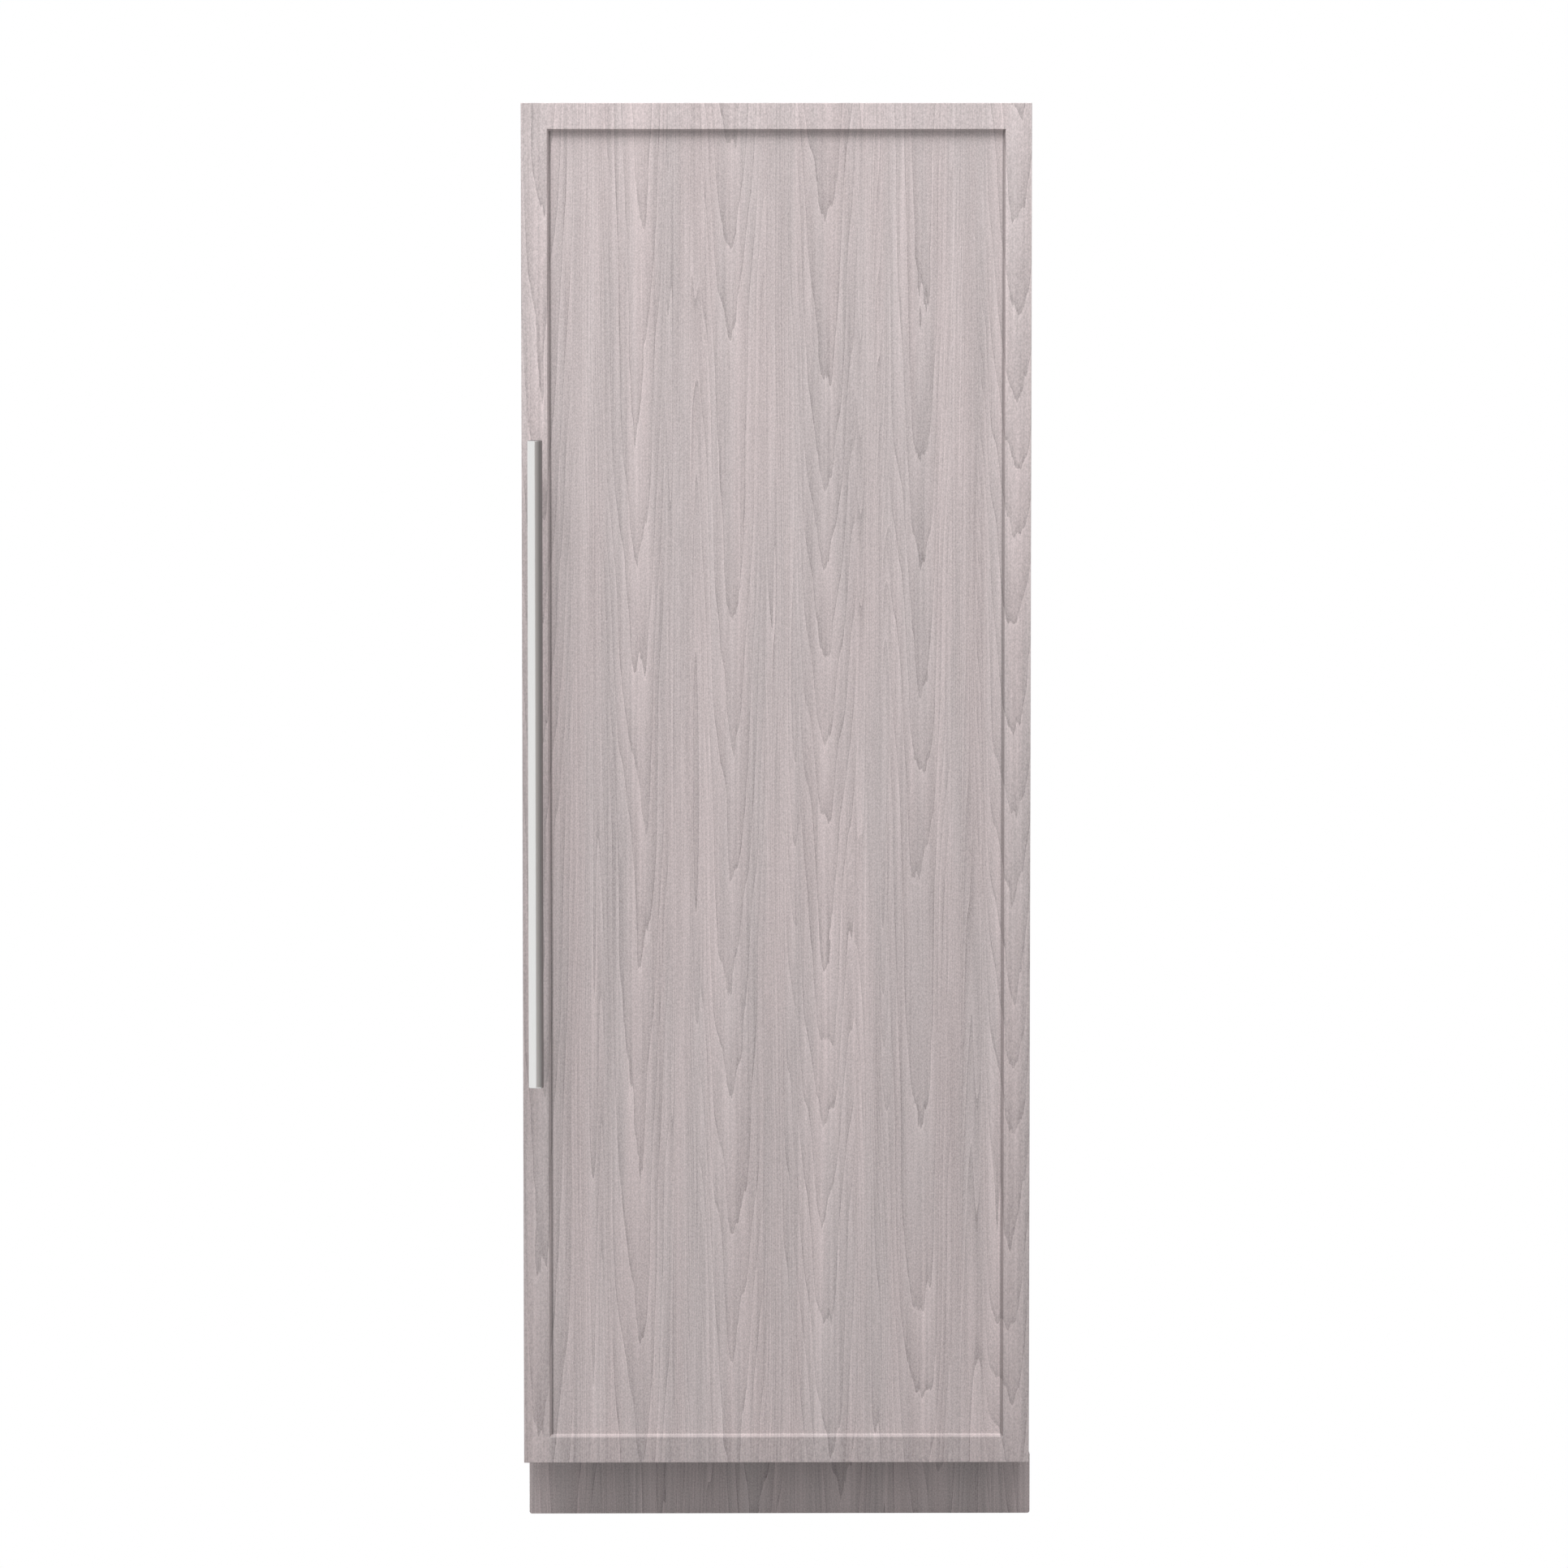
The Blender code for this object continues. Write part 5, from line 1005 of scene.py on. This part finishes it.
newPiece("back_panel_pressed", shape, "cabinet", "case_steel", 25, ["back_panel"])
outer = face + back["rise"] * 0.6
spots = [(x, outer, z) for x in (low[0] + lip / 2, high[0] - lip / 2) for z in back["screws"]]
spots += [(x, outer, high[2] - lip / 2) for x in (-0.18, 0, 0.18)]
manyScrews("back_screws", spots, (0, 1, 0), "cabinet", back["screw"], high[1] - face - back["rise"] * 0.6)
shape = bmesh.new()
for z in back["plugs"]:
    turn(shape, (middle, face - back["sunk"], z), (0, 1, 0),
         [(0, back["plug"]), (0.0005, back["plug"]), (0.0009, back["plug"] - 0.0012), (0.0009, 0.008),
          (0.0005, 0.0066), (0.0005, 0.004)])
newPiece("foam_hole_plugs", shape, "cabinet", "grey_plastic", 30)
print("closed the back")


# --- hinges: bolts, pivot heads and washers

hinge = {"pivot": 0.011, "bolts": ((-0.011, 0.030), (0.011, 0.030), (-0.011, 0.050), (0.011, 0.050)), "plate": 0.004,
         "head": [(0, 0.0082), (0.0007, 0.0082), (0.0008, 0.0068), (0.0018, 0.0068), (0.0026, 0.0056), (0.0028, 0.003)]}
armUpper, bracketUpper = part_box("hinge_arm_upper"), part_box("hinge_bracket_upper")
pivotCase = ((bracketUpper[0][0] + bracketUpper[1][0]) / 2, bracketUpper[0][1] + hinge["pivot"])
pivotDoor = (armUpper[1][0] - hinge["pivot"], armUpper[0][1] + hinge["pivot"])
for level, end, way in (("lower", 0, -1), ("upper", 1, 1)):
    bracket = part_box(f"hinge_bracket_{level}")
    shape = bmesh.new()
    fasten(shape, [(*pivotCase, bracket[end][2])], (0, 0, way), 0.0062, 0.0048, boltHead, 36)
    plate = bracket[1 - end][2] + way * hinge["plate"]
    fasten(shape, [(pivotCase[0] + x, pivotCase[1] + y, plate) for x, y in hinge["bolts"]],
           (0, 0, way), 0.0044, 0.0034, boltHead, 36)
    newPiece(f"hinge_bolts_{level}", shape, "cabinet", "zinc_steel", 25)
    shape = bmesh.new()
    turn(shape, (*pivotDoor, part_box(f"hinge_arm_{level}")[end][2]), (0, 0, way), hinge["head"], 40)
    newPiece(f"hinge_pin_head_{level}", shape, "hinge_arms", "zinc_steel", 25)
print("bolted the hinges")


# --- feet and rollers

support = {"pad": 0.004, "nut": (0.0185, 0.0255), "nutRadius": 0.0098, "thread": 0.0016, "root": 0.0053,
           "crest": 0.006, "ribs": 6, "wheelHalf": 0.010}
for side in ("left", "right"):
    low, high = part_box(f"front_foot_{side}")
    x, y, wide = (low[0] + high[0]) / 2, (low[1] + high[1]) / 2, (high[0] - low[0]) / 2
    pad = support["pad"]
    shape = bmesh.new()
    turn(shape, (x, y, low[2]), (0, 0, 1),
         [(0, wide - 0.0012), (0.0008, wide - 0.0003), (0.0030, wide - 0.0003), (pad, wide - 0.0014)], 64)
    newPiece(f"foot_pad_{side}", shape, f"front_foot_{side}", "dark_plastic", 40)
    profile = [(pad - 0.0001, wide - 0.002), (pad, wide - 0.0006), (pad + 0.0006, wide), (0.0088, wide),
               (0.0098, wide - 0.0008), (0.0112, wide - 0.004), (0.0128, 0.0102), (0.0150, 0.0084),
               (0.0185, 0.0078), (0.0186, 0.006)]
    reach, tall = support["nut"][1], high[2] - low[2] - 0.001
    while reach < tall - support["thread"]:
        profile += [(reach, support["root"]), (reach + support["thread"] * 0.5, support["crest"])]
        reach += support["thread"]
    profile += [(tall, support["root"]), (tall + 0.0006, 0.004)]
    shape = bmesh.new()
    turn(shape, (x, y, low[2]), (0, 0, 1), profile, 32)
    (foot, top), radius = support["nut"], support["nutRadius"]
    turn(shape, (x, y, 0), (0, 0, 1),
         [(foot, radius * 0.86), (foot + 0.0008, radius, 6), (top - 0.0008, radius, 6), (top, radius * 0.86)], 36)
    newPiece(f"levelling_foot_{side}", shape, f"front_foot_{side}", "zinc_steel", 30, [f"front_foot_{side}"])

    low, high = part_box(f"rear_roller_{side}")
    middle, radius = (low + high) / 2, (high[2] - low[2]) / 2
    half, end = support["wheelHalf"], (high[0] - low[0]) / 2
    rim = [(-half, 0.0052), (-half, 0.0092), (-half + 0.0022, 0.0104), (-half + 0.0026, radius * 0.72),
           (-half + 0.0002, radius * 0.78), (-half, radius * 0.86), (-half + 0.0010, radius * 0.965),
           (-half + 0.0026, radius), (-0.0008, radius), (-0.0004, radius - 0.0004)]
    shape = bmesh.new()
    turn(shape, middle, (1, 0, 0), rim + [(-reach, wide) for reach, wide in rim[::-1]], 64)
    for n in range(support["ribs"]):
        aim = Matrix.Rotation(math.tau * n / support["ribs"], 4, "X")
        for out in (-1, 1):
            rib = bmesh.new()
            a, b = sorted((out * (half - 0.0028), out * (half - 0.0006)))
            block(rib, (a, -0.0011, 0.0095), (b, 0.0011, radius * 0.76), 0.0004, 1)
            bmesh.ops.transform(rib, matrix=Matrix.Translation(middle) @ aim, verts=rib.verts)
            spare = bpy.data.meshes.new("rib")
            rib.to_mesh(spare)
            rib.free()
            shape.from_mesh(spare)
            bpy.data.meshes.remove(spare)
    newPiece(f"roller_wheel_{side}", shape, f"rear_roller_{side}", "dark_plastic", 30, [f"rear_roller_{side}"])
    shape = bmesh.new()
    turn(shape, middle, (1, 0, 0),
         [(-end, 0.0028), (-end + 0.0008, 0.004), (-end + 0.0014, 0.004), (-end + 0.0015, 0.0034),
          (-end + 0.0021, 0.0034), (-end + 0.0022, 0.004), (end - 0.0008, 0.004), (end, 0.0028)], 32)
    newPiece(f"roller_axle_{side}", shape, f"rear_roller_{side}", "zinc_steel", 30)
low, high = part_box("machine_grille")
manyScrews("grille_screws", [(x, low[1], z) for x in (low[0] + 0.008, (low[0] + high[0]) / 2, high[0] - 0.008)
                             for z in (low[2] + 0.006, high[2] - 0.006)], (0, -1, 0), "cabinet", 0.0034, 0.0014)
print("stood it on its feet")


# --- floor, light and camera

ground = {"half": 60.0, "grey": 0.40, "middle": 0.095, "reach": (0.355, 0.225), "fade": (-0.05, 0.012, 0.25, 1.0)}


def makeFloor():
    # white where it is looked at, but for the soft dark patch under the case; grey for every other ray
    material, tree = emptyMaterial("paleFloor")
    place = objectPlace(tree)
    x, y, _ = split(place)
    beside = sub(absolute(x), ground["reach"][0])
    behind = sub(absolute(sub(y, ground["middle"])), ground["reach"][1])
    fade = remap(larger(beside, behind), *ground["fade"])
    fade = add(fade, mulAdd(noise(place, (9, 9, 9), 4.0), 0.02, -0.005), clamp=True)
    bare = fill(newNode(tree, "BsdfDiffuse"), Color=(*[ground["grey"]] * 3, 1))[0]
    glow = newNode(tree, "Emission").outputs[0]
    plug(newNode(tree, "OutputMaterial").inputs[0], effect("MixShader", mul(fade, looked(tree)), bare, glow)[0])
    return material


half = ground["half"]
shape = bmesh.new()
shape.faces.new([shape.verts.new((x, y, 0)) for x, y in ((-half, -half), (half, -half), (half, half), (-half, half))])
toMesh("floor", shape, makeFloor())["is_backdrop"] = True

card = {"first": 0, "last": 120, "radius": 3.6, "foot": 0.01, "top": 3.6, "bright": 0.54, "dim": 0.12, "steps": 40}


def makeCard():
    # seen only in reflections: the metal's dark side, deeper towards the back
    material, tree = emptyMaterial("darkCard")
    x, y, _ = split(vectorCalc("SUBTRACT", objectPlace(tree), (barX, barY, 0)))
    angle = calc("ARCTAN2", x, mul(y, -1.0))
    share = remap(angle, math.radians(card["first"]), math.radians(card["last"]), shape="LINEAR")
    strength = mulAdd(calc("POWER", sub(1.0, share), 1.3), card["bright"] - card["dim"], card["dim"])
    glow = effect("Emission", Color=(1.0, 0.93, 0.91, 1), Strength=strength)[0]
    plug(newNode(tree, "OutputMaterial").inputs[0], glow)
    return material


shape = bmesh.new()
arc = []
for n in range(card["steps"] + 1):
    a = math.radians(card["first"] + (card["last"] - card["first"]) * n / card["steps"])
    x, y = barX + math.sin(a) * card["radius"], barY - math.cos(a) * card["radius"]
    arc.append([shape.verts.new((x, y, z)) for z in (card["foot"], card["top"])])
for first, second in zip(arc, arc[1:]):
    shape.faces.new((first[0], second[0], second[1], first[1]))
darkCard = toMesh("darkCard", shape, makeCard())
darkCard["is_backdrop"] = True
darkCard.visible_camera = darkCard.visible_diffuse = darkCard.visible_shadow = False
darkCard.visible_transmission = darkCard.visible_volume_scatter = False

sky = {"below": 0.21, "above": 0.38, "looked": 1.0}
scene = bpy.context.scene
scene.world = scene.world or bpy.data.worlds.new("world")
scene.world.use_nodes = True
tree = scene.world.node_tree
tree.nodes.clear()
height = split(newNode(tree, "TexCoord").outputs["Generated"])[2]
soft = remap(height, -1.0, 1.0, sky["below"], sky["above"], "LINEAR")
shine = effect("Background", Color=(1, 1, 1, 1), Strength=mix(looked(tree), soft, sky["looked"]))[0]
plug(newNode(tree, "OutputWorld").inputs[0], shine)


def addLamp(name, spot, aim, size, power):
    lamp = bpy.data.lights.new(name, "AREA")
    lamp.shape = "RECTANGLE"
    lamp.size, lamp.size_y = size
    lamp.energy = power
    holder = putIn(name, lamp)
    holder.visible_camera = False
    holder.location = spot
    holder.rotation_euler = (Vector(aim) - Vector(spot)).to_track_quat("-Z", "Y").to_euler()
    return holder


addLamp("overheadLamp", (-1.1, -3.28, 7.35), (0.0, -0.28, 1.4), (6.5, 3.0), 548)
frontLamp = addLamp("frontLamp", (-1.4, -5.2, 1.9), (-0.2, -0.28, 1.3), (6.4, 3.4), 68)
kickBoard = nodes["toe_kick_panel"]
kickFace = min((kickBoard.matrix_world @ Vector(corner))[1] for corner in kickBoard.bound_box)
footLamp = addLamp("footLamp", (0.0, kickFace - 0.05, 0.006), (0.0, kickFace, 0.03), (0.8, 0.02), 0.03)
frontLamp.visible_glossy = footLamp.visible_glossy = False

# focus and photo width in pixels, angles in radians
view = {"spot": (-0.10045, -12.728, 2.15513), "turn": 0.0087, "dip": 0.08287, "focus": 10336.36, "photoWidth": 1932}
camera = bpy.data.cameras.new("camera")
camera.sensor_width = 36.0
camera.lens = camera.sensor_width * view["focus"] / view["photoWidth"]
camera.clip_end = 200
cameraHolder = putIn("camera", camera)
ahead = Vector((view["turn"] * math.cos(view["dip"]), math.cos(view["dip"]), -math.sin(view["dip"])))
cameraHolder.location = view["spot"]
cameraHolder.rotation_euler = ahead.to_track_quat("-Z", "Y").to_euler()
scene.camera = cameraHolder
scene.view_settings.view_transform = "Standard"
print("set the light and the camera")

bpy.context.view_layer.update()
low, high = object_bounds()
